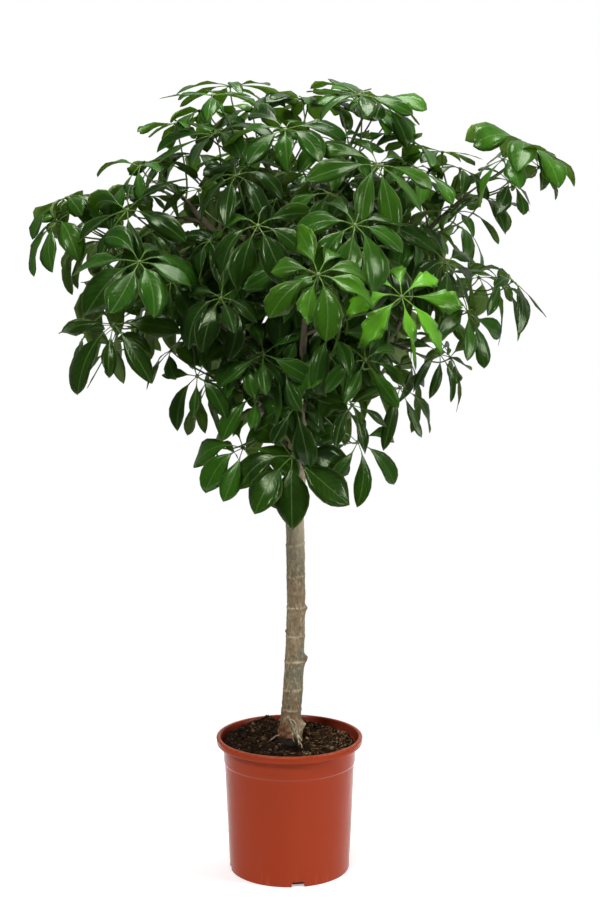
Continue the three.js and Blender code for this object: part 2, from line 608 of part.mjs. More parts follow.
// The stalk of one leaf, by the first way that is clear. The first stalk of a shoot sits on its
// twig's flat end, and the others leave it at a fork.
function growStalk(wished, own, family, twig, fork) {
  const radii = fork ? stalkRadii : stalkRadii.map((radius) => radius + firstStalkExtra);
  const first = fork ? undefined : twig.along;
  const start = fork ?? twig.end.clone().addScaledVector(twig.along, gap);
  const body = (line, grow) => tube(line, line.map((_, k) => (
    THREE.MathUtils.lerp(radii[0], radii[1], k / (line.length - 1)) + grow)), 6, { first });
  const goes = ({ move, bow }) => {
    const spec = { ...wished, hub: wished.hub.clone().add(vec(...move)) };
    const line = stalkLine(start, first ?? spec.hub.clone().sub(start).normalize(), spec, bow);
    const { axis } = leafFrame(spec);
    const ends = [-hub.under, 1.5].map((rise) => spec.hub.clone().addScaledVector(axis, rise));
    return { spec, line, knob: tube(ends, [hub.radius + clearance, hub.radius + clearance], 6) };
  };
  const way = ways.find((one) => {
    const { line, knob } = goes(one);
    return isClear(body(line, clearance), [twig.name, ...family]) && isClear(body(line, 0.5), family)
      && isClear(knob, []);
  });
  if (!way) throw new Error(`no way is clear for ${own}`);
  const { spec, line, knob } = goes(way);
  stand(body(line, 0.6), own);
  stand(knob, own);
  return { spec, own, stalk: { line, radii, along: first } };
}

// The leaflets of one leaf, each by the first bend that is clear. One that no bend clears is left out.
function growLeaflets({ spec, own }) {
  const shares = bladeShares(spec);
  const outerShares = [0.3, ...shares.filter((share) => share > 0.3)];
  const ownStalk = standing.filter((one) => one.owner === own);
  const leaflets = [];
  for (let k = 0; k < spec.count; k += 1) {
    const turn = spec.turn + (360 * k) / spec.count + 5 * Math.sin(7.3 * k + spec.length);
    const length = spec.length * (1 + 0.08 * Math.sin(2.1 * k + spec.length));
    bends.some(([aside, lift, share]) => {
      const line = rib(spec, radians(turn + aside), radians(startLift + lift), length * share);
      const outer = leafletGuard(line, length * share, outerShares);
      const whole = leafletGuard(line, length * share, [0, ...shares]);
      const apart = (other) => other.intersect(outer).isEmpty();
      const clear = isClear(whole, [own]) && ownStalk.every(({ solid }) => apart(solid))
        && leaflets.every((other) => apart(other.outer));
      if (clear) leaflets.push({ turn: radians(turn + aside), line, length: length * share, outer, whole });
      return clear;
    });
  }
  leaflets.forEach(({ whole }) => stand(whole, own));
  return leaflets;
}

// The wood first, then every stalk, then the leaflets, which bend round both.
function growCrown() {
  const shoots = [...frontShoots, ...spiralShoots()];
  const { wood, ends } = growWood(shoots);
  const stalks = shoots.map((shoot, i) => {
    const family = shoot.map((_, j) => `leaf ${i} ${j}`);
    let fork = null;
    return shoot.map((wished, j) => {
      const grown = growStalk(wished, family[j], family, { ...ends[i], name: `twig ${i}` }, fork);
      fork ??= grown.stalk.line[0].clone().lerp(grown.stalk.line[1], 0.6);
      return grown;
    });
  });
  const leafOf = (grown) => leafSolid(grown.spec, grown.stalk, growLeaflets(grown));
  return { wood, leafy: stalks.map((shoot) => shoot.map(leafOf).reduce((sum, one) => sum.add(one))) };
}

const plant = new THREE.Group();
function place(name, solid, color, roughness) {
  const material = new THREE.MeshStandardMaterial({ color, roughness, metalness: 0 });
  const mesh = new THREE.Mesh(geometryOf(solid), material);
  mesh.name = name;
  plant.add(mesh);
}

const { wood, leafy } = growCrown();
place('pot', potSolid(), 0xb5482f, 0.42);
place('soil', soilSolid(trunkTube(soilHoleTop, gap)), 0x2e211a, 0.95);
place('trunk', wood, 0x8b7a62, 0.85);
leafy.forEach((solid, i) => {
  const color = youngShoots.includes(i) ? 0x3f8f2b : 0x1f5a22;
  place(`shoot_${String(i + 1).padStart(2, '0')}`, solid, color, 0.4);
});

export default plant;
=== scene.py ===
"""A potted umbrella plant, dressed over its solid frame.

The pot, the soil, the trunk with its limbs and every leafy shoot get a fine surface in the place of
their plain solid. Where each leaf has its hub, its stalk and its leaflets is read from the solids.
All lengths are in metres unless a name ends in _mm, +Z is up, and the front of the plant faces -Y.
"""

import logging
import math
from dataclasses import dataclass, field
from enum import Enum
from typing import Callable

import bpy
import numpy as np
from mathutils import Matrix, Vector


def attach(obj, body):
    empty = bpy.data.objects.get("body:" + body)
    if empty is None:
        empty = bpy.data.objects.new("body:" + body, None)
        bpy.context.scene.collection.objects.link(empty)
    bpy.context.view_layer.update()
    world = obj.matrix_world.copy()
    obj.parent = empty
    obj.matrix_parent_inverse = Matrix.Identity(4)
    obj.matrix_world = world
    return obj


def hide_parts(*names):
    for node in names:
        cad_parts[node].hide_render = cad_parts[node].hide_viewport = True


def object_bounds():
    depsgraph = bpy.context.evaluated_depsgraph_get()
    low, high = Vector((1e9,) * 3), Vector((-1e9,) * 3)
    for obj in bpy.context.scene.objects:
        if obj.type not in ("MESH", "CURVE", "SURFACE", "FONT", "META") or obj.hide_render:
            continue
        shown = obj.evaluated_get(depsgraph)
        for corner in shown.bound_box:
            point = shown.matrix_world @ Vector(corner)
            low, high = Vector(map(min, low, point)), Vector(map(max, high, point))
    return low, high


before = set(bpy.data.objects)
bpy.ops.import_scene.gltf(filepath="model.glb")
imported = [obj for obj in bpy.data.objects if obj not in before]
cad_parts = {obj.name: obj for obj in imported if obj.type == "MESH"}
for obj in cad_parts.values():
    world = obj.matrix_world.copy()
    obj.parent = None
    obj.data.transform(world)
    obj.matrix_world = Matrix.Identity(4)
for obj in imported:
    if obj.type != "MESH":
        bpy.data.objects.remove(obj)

SOLID_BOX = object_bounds()
LOG = logging.getLogger("umbrella_plant")
MM = 0.001
HUB_RADIUS = 4 * MM
ALLOWED_MISS = 0.5 * MM
FULL_TURN = 2 * math.pi
UP = np.array([0.0, 0.0, 1.0])
Colour = tuple[float, float, float]


def unit(vectors: np.ndarray) -> np.ndarray:
    """Gives each vector the length 1."""
    return vectors / np.maximum(np.linalg.norm(vectors, axis=-1, keepdims=True), 1e-12)


def eased(values: np.ndarray, low: float, high: float) -> np.ndarray:
    """Rises from 0 at `low` to 1 at `high` as 3x² - 2x³ of the share x of the way between them."""
    share = np.clip((values - low) / (high - low), 0.0, 1.0)
    return share * share * (3 - 2 * share)


def ripple(points: np.ndarray, wavelength: float, seed: int, waves: int = 14) -> np.ndarray:
    """Sums sine waves of random direction, length and phase.

    Args:
        points: Places, the last axis holding x, y and z.
        wavelength: The middle wavelength.
        seed: Starts the random draw.
        waves: How many waves are summed.

    Returns:
        One value a place, mostly between -1 and 1.
    """
    draw = np.random.default_rng(seed)
    heading = unit(draw.normal(size=(waves, 3)))
    length = wavelength * draw.uniform(0.6, 1.7, waves)
    phase = draw.uniform(0, FULL_TURN, waves)
    return np.sin(points @ (FULL_TURN * heading / length[:, None]).T + phase).sum(-1) / math.sqrt(waves)


def through(knots: np.ndarray, values: np.ndarray, at: np.ndarray) -> np.ndarray:
    """Reads the polynomial of lowest degree that has `values` at `knots`.

    Args:
        knots: Where the values are known.
        values: One row a knot.
        at: Where the polynomial is read.

    Returns:
        One row for each entry of `at`.
    """
    weights = np.linalg.solve(np.vander(knots, increasing=True), values)
    return np.vander(at, len(knots), increasing=True) @ weights


def flowing(points: np.ndarray, steps: int) -> np.ndarray:
    """Draws a smooth line through points: a Hermite cubic between each two.

    Args:
        points: The points that the line passes through.
        steps: Stations on each stretch.

    Returns:
        The stations, from the first point to the last.
    """
    slopes = np.gradient(points, axis=0)
    t = (np.arange(steps) / steps)[:, None]
    ahead = 3 * t**2 - 2 * t**3
    stretches = [
        (1 - ahead) * a + ahead * b + (t**3 - 2 * t**2 + t) * da + (t**3 - t**2) * db
        for a, b, da, db in zip(points[:-1], points[1:], slopes[:-1], slopes[1:])
    ]
    return np.vstack([*stretches, points[-1:]])


def carried(path: np.ndarray, first_side: np.ndarray) -> tuple[np.ndarray, np.ndarray, np.ndarray]:
    """Carries a side direction along a path without twist.

    Args:
        path: Stations of the path.
        first_side: A direction that isn't along the path's start.

    Returns:
        The direction along the path, the side and the direction square to both, at each station.
    """
    along = unit(np.gradient(path, axis=0))
    sides = np.empty_like(along)
    side = first_side
    for i, way in enumerate(along):
        side = unit(side - way * side.dot(way))
        sides[i] = side
    return along, sides, np.cross(along, sides)


def any_side(way: np.ndarray) -> np.ndarray:
    """Picks a direction well away from `way`."""
    return np.array([1.0, 0.0, 0.0]) if abs(unit(way)[2]) > 0.9 else UP


@dataclass
class Surface:
    """Points and faces, with what a finish reads from them.

    `mark` holds three numbers a point and `kind` three numbers a face. `finish` is the number of the
    material of each face.
    """

    points: np.ndarray
    quads: np.ndarray
    triangles: np.ndarray
    mark: np.ndarray
    kind: np.ndarray
    finish: np.ndarray

    @staticmethod
    def of(points: np.ndarray, quads: np.ndarray, triangles: np.ndarray, mark: np.ndarray,
           kind: tuple[float, float, float] | np.ndarray = (0, 0, 0), finish: int = 0) -> "Surface":
        """Makes a surface whose faces all have one finish, and one kind unless it is an array."""
        count = len(quads) + len(triangles)
        kinds = np.broadcast_to(np.asarray(kind, dtype=float), (count, 3))
        return Surface(points, quads, triangles, mark, kinds, np.full(count, finish))

    @staticmethod
    def joined(parts: list["Surface"]) -> "Surface":
        """Puts surfaces together in one, each with its own points."""
        offsets = np.cumsum([0, *(len(part.points) for part in parts[:-1])])
        quads = np.vstack([part.quads + start for part, start in zip(parts, offsets)])
        triangles = np.vstack([part.triangles + start for part, start in zip(parts, offsets)])
        by_shape = [
            np.concatenate([*(values[: len(part.quads)] for part, values in pairs),
                            *(values[len(part.quads):] for part, values in pairs)])
            for pairs in ([(part, part.kind) for part in parts], [(part, part.finish) for part in parts])
        ]
        return Surface(np.vstack([part.points for part in parts]), quads, triangles,
                       np.vstack([part.mark for part in parts]), *by_shape)

    def mesh(self, name: str) -> bpy.types.Mesh:
        """Writes the surface into a new Blender mesh, smooth, with its marks and kinds as attributes."""
        mesh = bpy.data.meshes.new(name)
        corners = np.concatenate([self.quads.ravel(), self.triangles.ravel()]).astype(np.int32)
        sizes = np.repeat([4, 3], [len(self.quads), len(self.triangles)]).astype(np.int32)
        mesh.vertices.add(len(self.points))
        mesh.vertices.foreach_set("co", self.points.astype(np.float32).ravel())
        mesh.loops.add(len(corners))
        mesh.loops.foreach_set("vertex_index", corners)
        mesh.polygons.add(len(sizes))
        mesh.polygons.foreach_set("loop_start", np.concatenate([[0], np.cumsum(sizes)[:-1]]).astype(np.int32))
        mesh.polygons.foreach_set("material_index", self.finish.astype(np.int32))
        for attribute, domain, values in (("mark", "POINT", self.mark), ("kind", "FACE", self.kind)):
            layer = mesh.attributes.new(attribute, "FLOAT_VECTOR", domain)
            layer.data.foreach_set("vector", values.astype(np.float32).ravel())
        mesh.update(calc_edges=True)
        mesh.validate()
        mesh.shade_smooth()
        return mesh


def ring_quads(rings: int, sides: int) -> np.ndarray:
    """Numbers the quads between closed rings of points that follow each other."""
    row, column = np.meshgrid(np.arange(rings - 1) * sides, np.arange(sides), indexing="ij")
    ahead = (column + 1) % sides
    return np.stack([row + column, row + ahead, row + sides + ahead, row + sides + column], -1).reshape(-1, 4)


def ring_triangles(rings: int, mirrored: np.ndarray) -> np.ndarray:
    """Numbers the triangles between closed rings.

    The quads of the mirrored columns are split the other way.

    Args:
        rings: How many rings follow each other.
        mirrored: Which columns are mirrored, one entry a point of the ring.

    Returns:
        Both triangles of each quad, in two rows that follow each other.
    """
    quads = ring_quads(rings, len(mirrored))
    flipped = np.tile(mirrored, rings - 1)[:, None]
    first = np.where(flipped, quads[:, [0, 1, 3]], quads[:, [0, 1, 2]])
    second = np.where(flipped, quads[:, [1, 2, 3]], quads[:, [0, 2, 3]])
    return np.stack([first, second], 1).reshape(-1, 3)


def pole_triangles(pole: int, first: int, sides: int, end: bool) -> np.ndarray:
    """Numbers the fan of triangles between a pole and the ring that starts at `first`."""
    column = np.arange(sides)
    here, ahead = first + column, first + (column + 1) % sides
    pair = (here, ahead) if end else (ahead, here)
    return np.stack([np.full(sides, pole), *pair], -1)


def cap_triangles(count: int, sides: int) -> np.ndarray:
    """Closes rings of `count` points in all at both ends, by fans to the two poles that follow them."""
    return np.vstack([pole_triangles(count, 0, sides, False),
                      pole_triangles(count + 1, count - sides, sides, True)])


def tube(path: np.ndarray, radii: np.ndarray, sides: int,
         relief: Callable[[np.ndarray, np.ndarray], np.ndarray] | None = None,
         kind: tuple[float, float, float] = (0, 0, 0), finish: int = 0) -> Surface:
    """Carries a circle along a path: place + radius (side cos turn + other sin turn), closed by two poles.

    Args:
        path: Stations of the path.
        radii: The radius at each station.
        sides: Points on each ring.
        relief: Gives what is added to the radius, from the turn and the station's run of path.
        kind: The kind of its faces.
        finish: The number of their material.

    Returns:
        A closed surface. Its mark is the share of a turn, the run along the path and the radius.
    """
    _, side, other = carried(path, any_side(path[1] - path[0]))
    run = np.concatenate([[0.0], np.cumsum(np.linalg.norm(np.diff(path, axis=0), axis=1))])
    turn = FULL_TURN * np.arange(sides) / sides
    radius = np.repeat(radii[:, None], sides, axis=1)
    if relief is not None:
        radius = radius + relief(turn[None, :], run[:, None])
    rings = (path[:, None] + radius[..., None] * (side[:, None] * np.cos(turn)[None, :, None]
                                                  + other[:, None] * np.sin(turn)[None, :, None]))
    count = len(path) * sides
    share = np.broadcast_to(turn / FULL_TURN, (len(path), sides))
    mark = np.stack([share, np.broadcast_to(run[:, None], share.shape), radius], -1).reshape(-1, 3)
    points = np.vstack([rings.reshape(-1, 3), path[:1], path[-1:]])
    mark = np.vstack([mark, [[0, 0, radii[0]], [0, run[-1], radii[-1]]]])
    return Surface.of(points, ring_quads(len(path), sides), cap_triangles(count, sides), mark, kind, finish)


def piece(name: str, mesh: bpy.types.Mesh, finishes: list[bpy.types.Material],
          replaced: list[str]) -> bpy.types.Object:
    """Puts a mesh into the scene as a finished piece of the plant.

    Args:
        name: The piece's name.
        mesh: Its mesh.
        finishes: Its materials, in the order that its faces number them.
        replaced: The solids that it stands for.

    Returns:
        The new object.
    """
    made = bpy.data.objects.new(name, mesh)
    bpy.context.scene.collection.objects.link(made)
    for finish in finishes:
        mesh.materials.append(finish)
    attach(made, "root")
    if replaced:
        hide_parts(*replaced)
    LOG.info("%s: %d faces, in place of %s", name, len(mesh.polygons), ", ".join(replaced) or "nothing")
    return made


class Link:
    """An output socket of a material, on which Python's operators add Math nodes."""

    def __init__(self, graph: "Graph", socket: bpy.types.NodeSocket) -> None:
        """Keeps the socket and the graph that it belongs to."""
        self.graph = graph
        self.socket = socket

    def _math(self, operation: str, *values: "Link | float") -> "Link":
        """Adds one Math node."""
        return self.graph.node("ShaderNodeMath", {"operation": operation}, dict(enumerate(values)))

    def __add__(self, other: "Link | float") -> "Link":
        """Adds a value."""
        return self._math("ADD", self, other)

    __radd__ = __add__

    def __sub__(self, other: "Link | float") -> "Link":
        """Takes a value away."""
        return self._math("SUBTRACT", self, other)

    def __rsub__(self, other: float) -> "Link":
        """Is taken away from a number."""
        return self._math("SUBTRACT", other, self)

    def __mul__(self, other: "Link | float") -> "Link":
        """Multiplies by a value."""
        return self._math("MULTIPLY", self, other)

    __rmul__ = __mul__

    def __abs__(self) -> "Link":
        """Drops the sign."""
        return self._math("ABSOLUTE", self)

    def fraction(self) -> "Link":
        """Keeps what follows the decimal point."""
        return self._math("FRACT", self)

    def eased(self, low: float, high: float) -> "Link":
        """Rises smoothly from 0 at `low` to 1 at `high`."""
        ends = {"Value": self, "From Min": low, "From Max": high}
        return self.graph.node("ShaderNodeMapRange", {"interpolation_type": "SMOOTHSTEP"}, ends)


class Graph:
    """The nodes of one material."""

    def __init__(self, name: str) -> None:
        """Makes an empty material."""
        self.material = bpy.data.materials.new(name)
        self.material.use_nodes = True
        self.tree = self.material.node_tree
        self.tree.nodes.clear()

    @classmethod
    def within(cls, tree: bpy.types.NodeTree) -> "Graph":
        """Takes over another node tree, such as the world's, and empties it."""
        graph = cls.__new__(cls)
        graph.tree = tree
        tree.nodes.clear()
        return graph

    def node(self, kind: str, settings: dict, sockets: dict, output: int | None = 0) -> Link | None:
        """Adds a node.

        Args:
            kind: The node's type.
            settings: Its settings, set before its sockets. `stops` are a ramp's places and colours.
            sockets: A value or a link for each socket, by name or number.
            output: The number of the output to hand back, or None for a node that has none.

        Returns:
            That output, or None.
        """
        node = self.tree.nodes.new(kind)
        for name, value in settings.items():
            if name == "stops":
                self._set_stops(node.color_ramp, value)
            else:
                setattr(node, name, value)
        for name, value in sockets.items():
            if isinstance(value, Link):
                self.tree.links.new(value.socket, node.inputs[name])
            else:
                node.inputs[name].default_value = value
        return None if output is None else Link(self, node.outputs[output])

    @staticmethod
    def _set_stops(ramp: bpy.types.ColorRamp, stops: list[tuple[float, Colour]]) -> None:
        """Gives a ramp its stops."""
        while len(ramp.elements) < len(stops):
            ramp.elements.new(1.0)
        for element, (place, colour) in zip(ramp.elements, stops):
            element.position = place
            element.color = (*colour, 1.0)

    def place(self) -> Link:
        """The point's place in the object's own coordinates."""
        return self.node("ShaderNodeTexCoord", {}, {}, 3)

    def stretched(self, scale: tuple[float, float, float]) -> Link:
        """The point's place, scaled differently along each axis."""
        return self.node("ShaderNodeMapping", {}, {"Vector": self.place(), "Scale": scale})

    def parts(self, vector: Link) -> list[Link]:
        """The three numbers of a vector."""
        split = self.node("ShaderNodeSeparateXYZ", {}, {"Vector": vector})
        return [Link(self, socket) for socket in split.socket.node.outputs]

    def height(self) -> Link:
        """The point's height over the floor."""
        return self.parts(self.place())[2]

    def attribute(self, name: str) -> list[Link]:
        """The three numbers of a mesh attribute."""
        return self.parts(self.node("ShaderNodeAttribute", {"attribute_name": name}, {}, 1))

    def noise(self, scale: float, detail: float = 3.0, place: Link | None = None) -> Link:
        """Cloudy noise between 0 and 1, at `scale` clouds a metre."""
        sockets = {"Vector": place or self.place(), "Scale": scale, "Detail": detail}
        return self.node("ShaderNodeTexNoise", {}, sockets)

    def mix(self, share: Link | float, first: Link | Colour, second: Link | Colour) -> Link:
        """Mixes two colours by a share."""
        first, second = (one if isinstance(one, Link) else (*one, 1.0) for one in (first, second))
        return self.node("ShaderNodeMix", {"data_type": "RGBA"}, {0: share, 6: first, 7: second}, 2)

    def ramp(self, value: Link, stops: list[tuple[float, Colour]]) -> Link:
        """Turns a value into a colour."""
        return self.node("ShaderNodeValToRGB", {"stops": stops}, {"Fac": value})

    def bump(self, height: Link, strength: float, distance: float) -> Link:
        """Turns a height into a normal."""
        return self.node("ShaderNodeBump", {}, {"Height": height, "Strength": strength, "Distance": distance})

    def principled(self, **sockets: "Link | float | Colour") -> Link:
        """Adds a principled shader.

        Args:
            **sockets: Its sockets by name, with _ for each space.

        Returns:
            The shader.
        """
        named = {name.replace("_", " "): value for name, value in sockets.items()}
        return self.node("ShaderNodeBsdfPrincipled", {}, named)

    def ended(self, shader: Link) -> bpy.types.Material:
        """Ends the material in a shader."""
        self.node("ShaderNodeOutputMaterial", {}, {"Surface": shader}, None)
        return self.material

    def finished(self, **sockets: "Link | float | Colour") -> bpy.types.Material:
        """Ends the material in one principled shader, whose sockets are named as for `principled`."""
        return self.ended(self.principled(**sockets))


@dataclass(frozen=True)
class LeafFinish:
    """Glossy, leathery leaflets: green mottled by age, a pale midrib, faint side veins, a dull underside.

    A share of the light passes through the blade and comes out yellow-green.
    """

    deep: Colour = (0.005, 0.018, 0.004)
    full: Colour = (0.027, 0.108, 0.008)
    new: Colour = (0.136, 0.430, 0.017)
    under_side: Colour = (0.125, 0.170, 0.050)
    midrib: Colour = (0.190, 0.300, 0.100)
    edge: Colour = (0.300, 0.380, 0.160)
    stem: Colour = (0.200, 0.310, 0.060)
    let_through: Colour = (0.400, 0.640, 0.100)
    gloss: Colour = (0.820, 1.000, 0.620)
    thinness: float = 0.31
    vein_pairs: float = 11.0
    vein_slant: float = 2.4

    def material(self) -> bpy.types.Material:
        """Builds the material.

        Returns:
            The material. It reads `mark` as across, along and half-width in cm, and `kind` as
            underside, tone and newness.
        """
        graph = Graph("leaf")
        across, along, half = graph.attribute("mark")
        under, tone, newness = graph.attribute("kind")
        mottle = graph.noise(38.0, 4.0)
        off_centre = abs(across)
        rib = 1 - (off_centre * half).eased(0.03, 0.12)
        edge = off_centre.eased(0.86, 0.98) * along.eased(0.20, 0.35)
        stem = 1 - along.eased(0.08, 0.22)
        wave = abs((along * self.vein_pairs - off_centre * self.vein_slant).fraction() - 0.5) * 2
        vein = wave.eased(0.80, 1.0) * (1 - edge)
        blade = graph.mix(tone + (mottle - 0.5) * 0.9, self.deep, self.full)
        freshness = newness * (newness * 0.75 + 0.20)
        blade = graph.mix(freshness * (0.45 + mottle * 1.05), blade, self.new)
        blade = graph.mix(vein * 0.14, blade, self.midrib)
        blade = graph.mix(under * 0.85, blade, graph.mix(freshness * 0.7, self.under_side, self.new))
        blade = graph.mix(rib * 0.42, blade, self.midrib)
        blade = graph.mix(edge * 0.40, blade, self.edge)
        blade = graph.mix(stem * 0.75, blade, self.stem)
        height = (1 - rib) * 0.5 - vein * 0.25 + graph.noise(420.0, 2.0) * 0.18
        shader = graph.principled(
            Base_Color=blade, Roughness=0.15 + mottle * 0.13 + under * 0.25,
            Normal=graph.bump(height, 0.45, 0.0006), Specular_IOR_Level=0.34,
            Specular_Tint=(*self.gloss, 1.0))
        passed = graph.node("ShaderNodeBsdfTranslucent", {}, {"Color": (*self.let_through, 1.0)})
        return graph.ended(graph.node("ShaderNodeMixShader", {}, {0: self.thinness, 1: shader, 2: passed}))


@dataclass(frozen=True)
class StalkFinish:
    """Leaf stalks: green, browner towards the wood."""

    green: Colour = (0.075, 0.140, 0.030)
    brown: Colour = (0.115, 0.078, 0.035)
    hub: Colour = (0.240, 0.340, 0.080)

    def material(self) -> bpy.types.Material:
        """Builds the material, which reads `mark` as turn, run and radius."""
        graph = Graph("leaf_stalk")
        _, run, _ = graph.attribute("mark")
        cloud = graph.noise(90.0, 3.0)
        woody = (1 - run.eased(0.0, 0.05)) * 0.7 + cloud * 0.5 - 0.15
        ridge = graph.bump(graph.noise(500.0, 2.0, graph.stretched((1, 1, 0.15))), 0.3, 0.0005)
        colour = graph.mix(woody, self.green, self.brown)
        colour = graph.mix(run.eased(0.90, 1.0), colour, self.hub)
        return graph.finished(Base_Color=colour, Roughness=0.42 + cloud * 0.2, Normal=ridge)


@dataclass(frozen=True)
class BarkFinish:
    """Olive-grey bark with tan patches, dark specks and thin pale rings. Painted light makes it paler from
    half a metre up, painted shade makes it darker and browner in the crown, and painted shade makes its foot
    by the soil nearly black.
    """

    olive: Colour = (0.150, 0.138, 0.080)
    tan: Colour = (0.225, 0.158, 0.084)
    pale: Colour = (0.580, 0.490, 0.330)
    speck: Colour = (0.050, 0.040, 0.024)
    # Painted shade at the trunk's foot, by the soil.
    hollow: Colour = (0.008, 0.005, 0.003)
    # Painted shade on the trunk in the crown, under the leaves.
    crown: Colour = (0.060, 0.028, 0.016)
    rust: Colour = (0.250, 0.100, 0.034)
    green: Colour = (0.075, 0.090, 0.030)

    def material(self) -> bpy.types.Material:
        """Builds the material, which reads `mark` as ring, rust and peel, and `kind` as youth and cut."""
        graph = Graph("bark")
        ring, fibre, peel = graph.attribute("mark")
        youth, _, cut = graph.attribute("kind")
        height = graph.height()
        flecks = graph.noise(330.0, 5.0, graph.stretched((1, 1, 0.5)))
        bands = graph.noise(42.0, 4.0, graph.stretched((1, 1, 0.3)))
        grain = graph.noise(900.0, 3.0)
        colour = graph.mix(bands.eased(0.40, 0.60), self.olive, self.tan)
        blotches = graph.noise(190.0, 4.0, graph.stretched((1, 1, 0.6)))
        colour = graph.mix((blotches - 0.5).eased(0.02, 0.16) * 0.22, colour, self.pale)
        colour = graph.mix((0.5 - blotches).eased(0.03, 0.16) * 0.32, colour, self.speck)
        colour = graph.mix((flecks - 0.5).eased(0.04, 0.22) * 0.42, colour, self.pale)
        colour = graph.mix((0.5 - flecks).eased(0.05, 0.18) * 0.65, colour, self.speck)
        colour = graph.mix((grain - 0.5).eased(0.08, 0.22) * 0.35, colour, self.speck)
        # Painted light: the bark is paler from half a metre up, against the crown's shadow.
        colour = graph.mix(height.eased(0.49, 0.60) * 0.72, colour, self.pale)
        # Painted shade: darker and browner in the crown, and its pale rings fade there.
        shade = height.eased(0.62, 0.82)
        colour = graph.mix(shade * 0.85, colour, graph.mix(flecks.eased(0.35, 0.65), self.speck, self.crown))
        colour = graph.mix(youth * 0.55, colour, self.green)
        colour = graph.mix(ring * flecks.eased(0.34, 0.50) * 0.90 * (1 - shade), colour, self.pale)
        low = (1 - height.eased(0.240, 0.300)) * bands.eased(0.42, 0.60)
        colour = graph.mix(low * 0.45, colour, self.rust)
        fibres = graph.noise(900.0, 4.0, graph.stretched((1, 1, 0.2)))
        dry = graph.mix(bands.eased(0.5, 0.8), self.rust, self.tan)
        strand = graph.mix(fibres.eased(0.34, 0.60), self.speck, dry)
        colour = graph.mix(fibre, colour, strand)
        colour = graph.mix(peel, colour, graph.mix(flecks.eased(0.35, 0.6), self.tan, self.pale))
        colour = graph.mix(cut, colour, graph.mix(flecks, self.pale, self.tan))
        # Painted shade: the foot by the soil is nearly black, except where the bark peels.
        colour = graph.mix((1 - height.eased(0.219, 0.229)) * (1 - peel) * 0.97, colour, self.hollow)
        relief = flecks * 0.8 + bands * 0.4 + grain * 0.25 + fibres * fibre
        return graph.finished(Base_Color=colour, Roughness=0.68 + flecks * 0.2,
                              Normal=graph.bump(relief, 0.6, 0.0012))


@dataclass(frozen=True)
class SoilFinish:
    """Dark, wet peat with crumbs of bark, from nearly black over red-brown to tan, and some moss. Painted
    shade darkens its left side and the hollow in front of the trunk, and painted light makes the crumbs
    lighter on the right.
    """

    # Nearly black: the wet peat's own colour, also used for painted shade.
    damp_and_shade: Colour = (0.004, 0.0025, 0.0015)
    peat: Colour = (0.050, 0.025, 0.013)
    rust: Colour = (0.140, 0.045, 0.020)
    straw: Colour = (0.480, 0.300, 0.160)
    moss: Colour = (0.035, 0.055, 0.012)
    root: Colour = (0.520, 0.430, 0.300)

    def material(self) -> bpy.types.Material:
        """Builds the material, which reads `kind` as lightness, root and hue of a crumb."""
        graph = Graph("potting_soil")
        light, root, hue = graph.attribute("kind")
        grain = graph.noise(520.0, 6.0)
        clods = graph.noise(140.0, 4.0)
        colour = graph.mix((grain * 0.7 + clods * 0.6).eased(0.54, 0.86), self.damp_and_shade, self.peat)
        chip = graph.ramp(hue, [(0.0, self.peat), (0.45, self.rust), (0.75, self.straw), (0.95, self.moss)])
        x, y, _ = graph.parts(graph.place())
        # Painted light: the crumbs are lighter towards the right.
        colour = graph.mix(light * (0.5 + grain * 1.2) * (0.8 + x.eased(-0.03, 0.07) * 0.9), colour, chip)
        colour = graph.mix(clods.eased(0.60, 0.72) * 0.30, colour, self.moss)
        # Painted shade: the soil in the hollow in front of the trunk is darkened.
        hollow = abs(x - 0.004) * 22.0 + abs(y + 0.040) * 30.0
        colour = graph.mix((1 - hollow.eased(0.3, 1.1)) * (1 - root) * 0.80, colour, self.damp_and_shade)
        # Painted shade: the soil is darkened towards the left.
        colour = graph.mix((1 - x.eased(-0.09, 0.05)) * (1 - root) * 0.40, colour, self.damp_and_shade)
        colour = graph.mix(root, colour, self.root)
        return graph.finished(Base_Color=colour, Roughness=0.72 + grain * 0.2, Specular_IOR_Level=0.05,
                              Normal=graph.bump(grain + clods * 0.5, 0.9, 0.002))


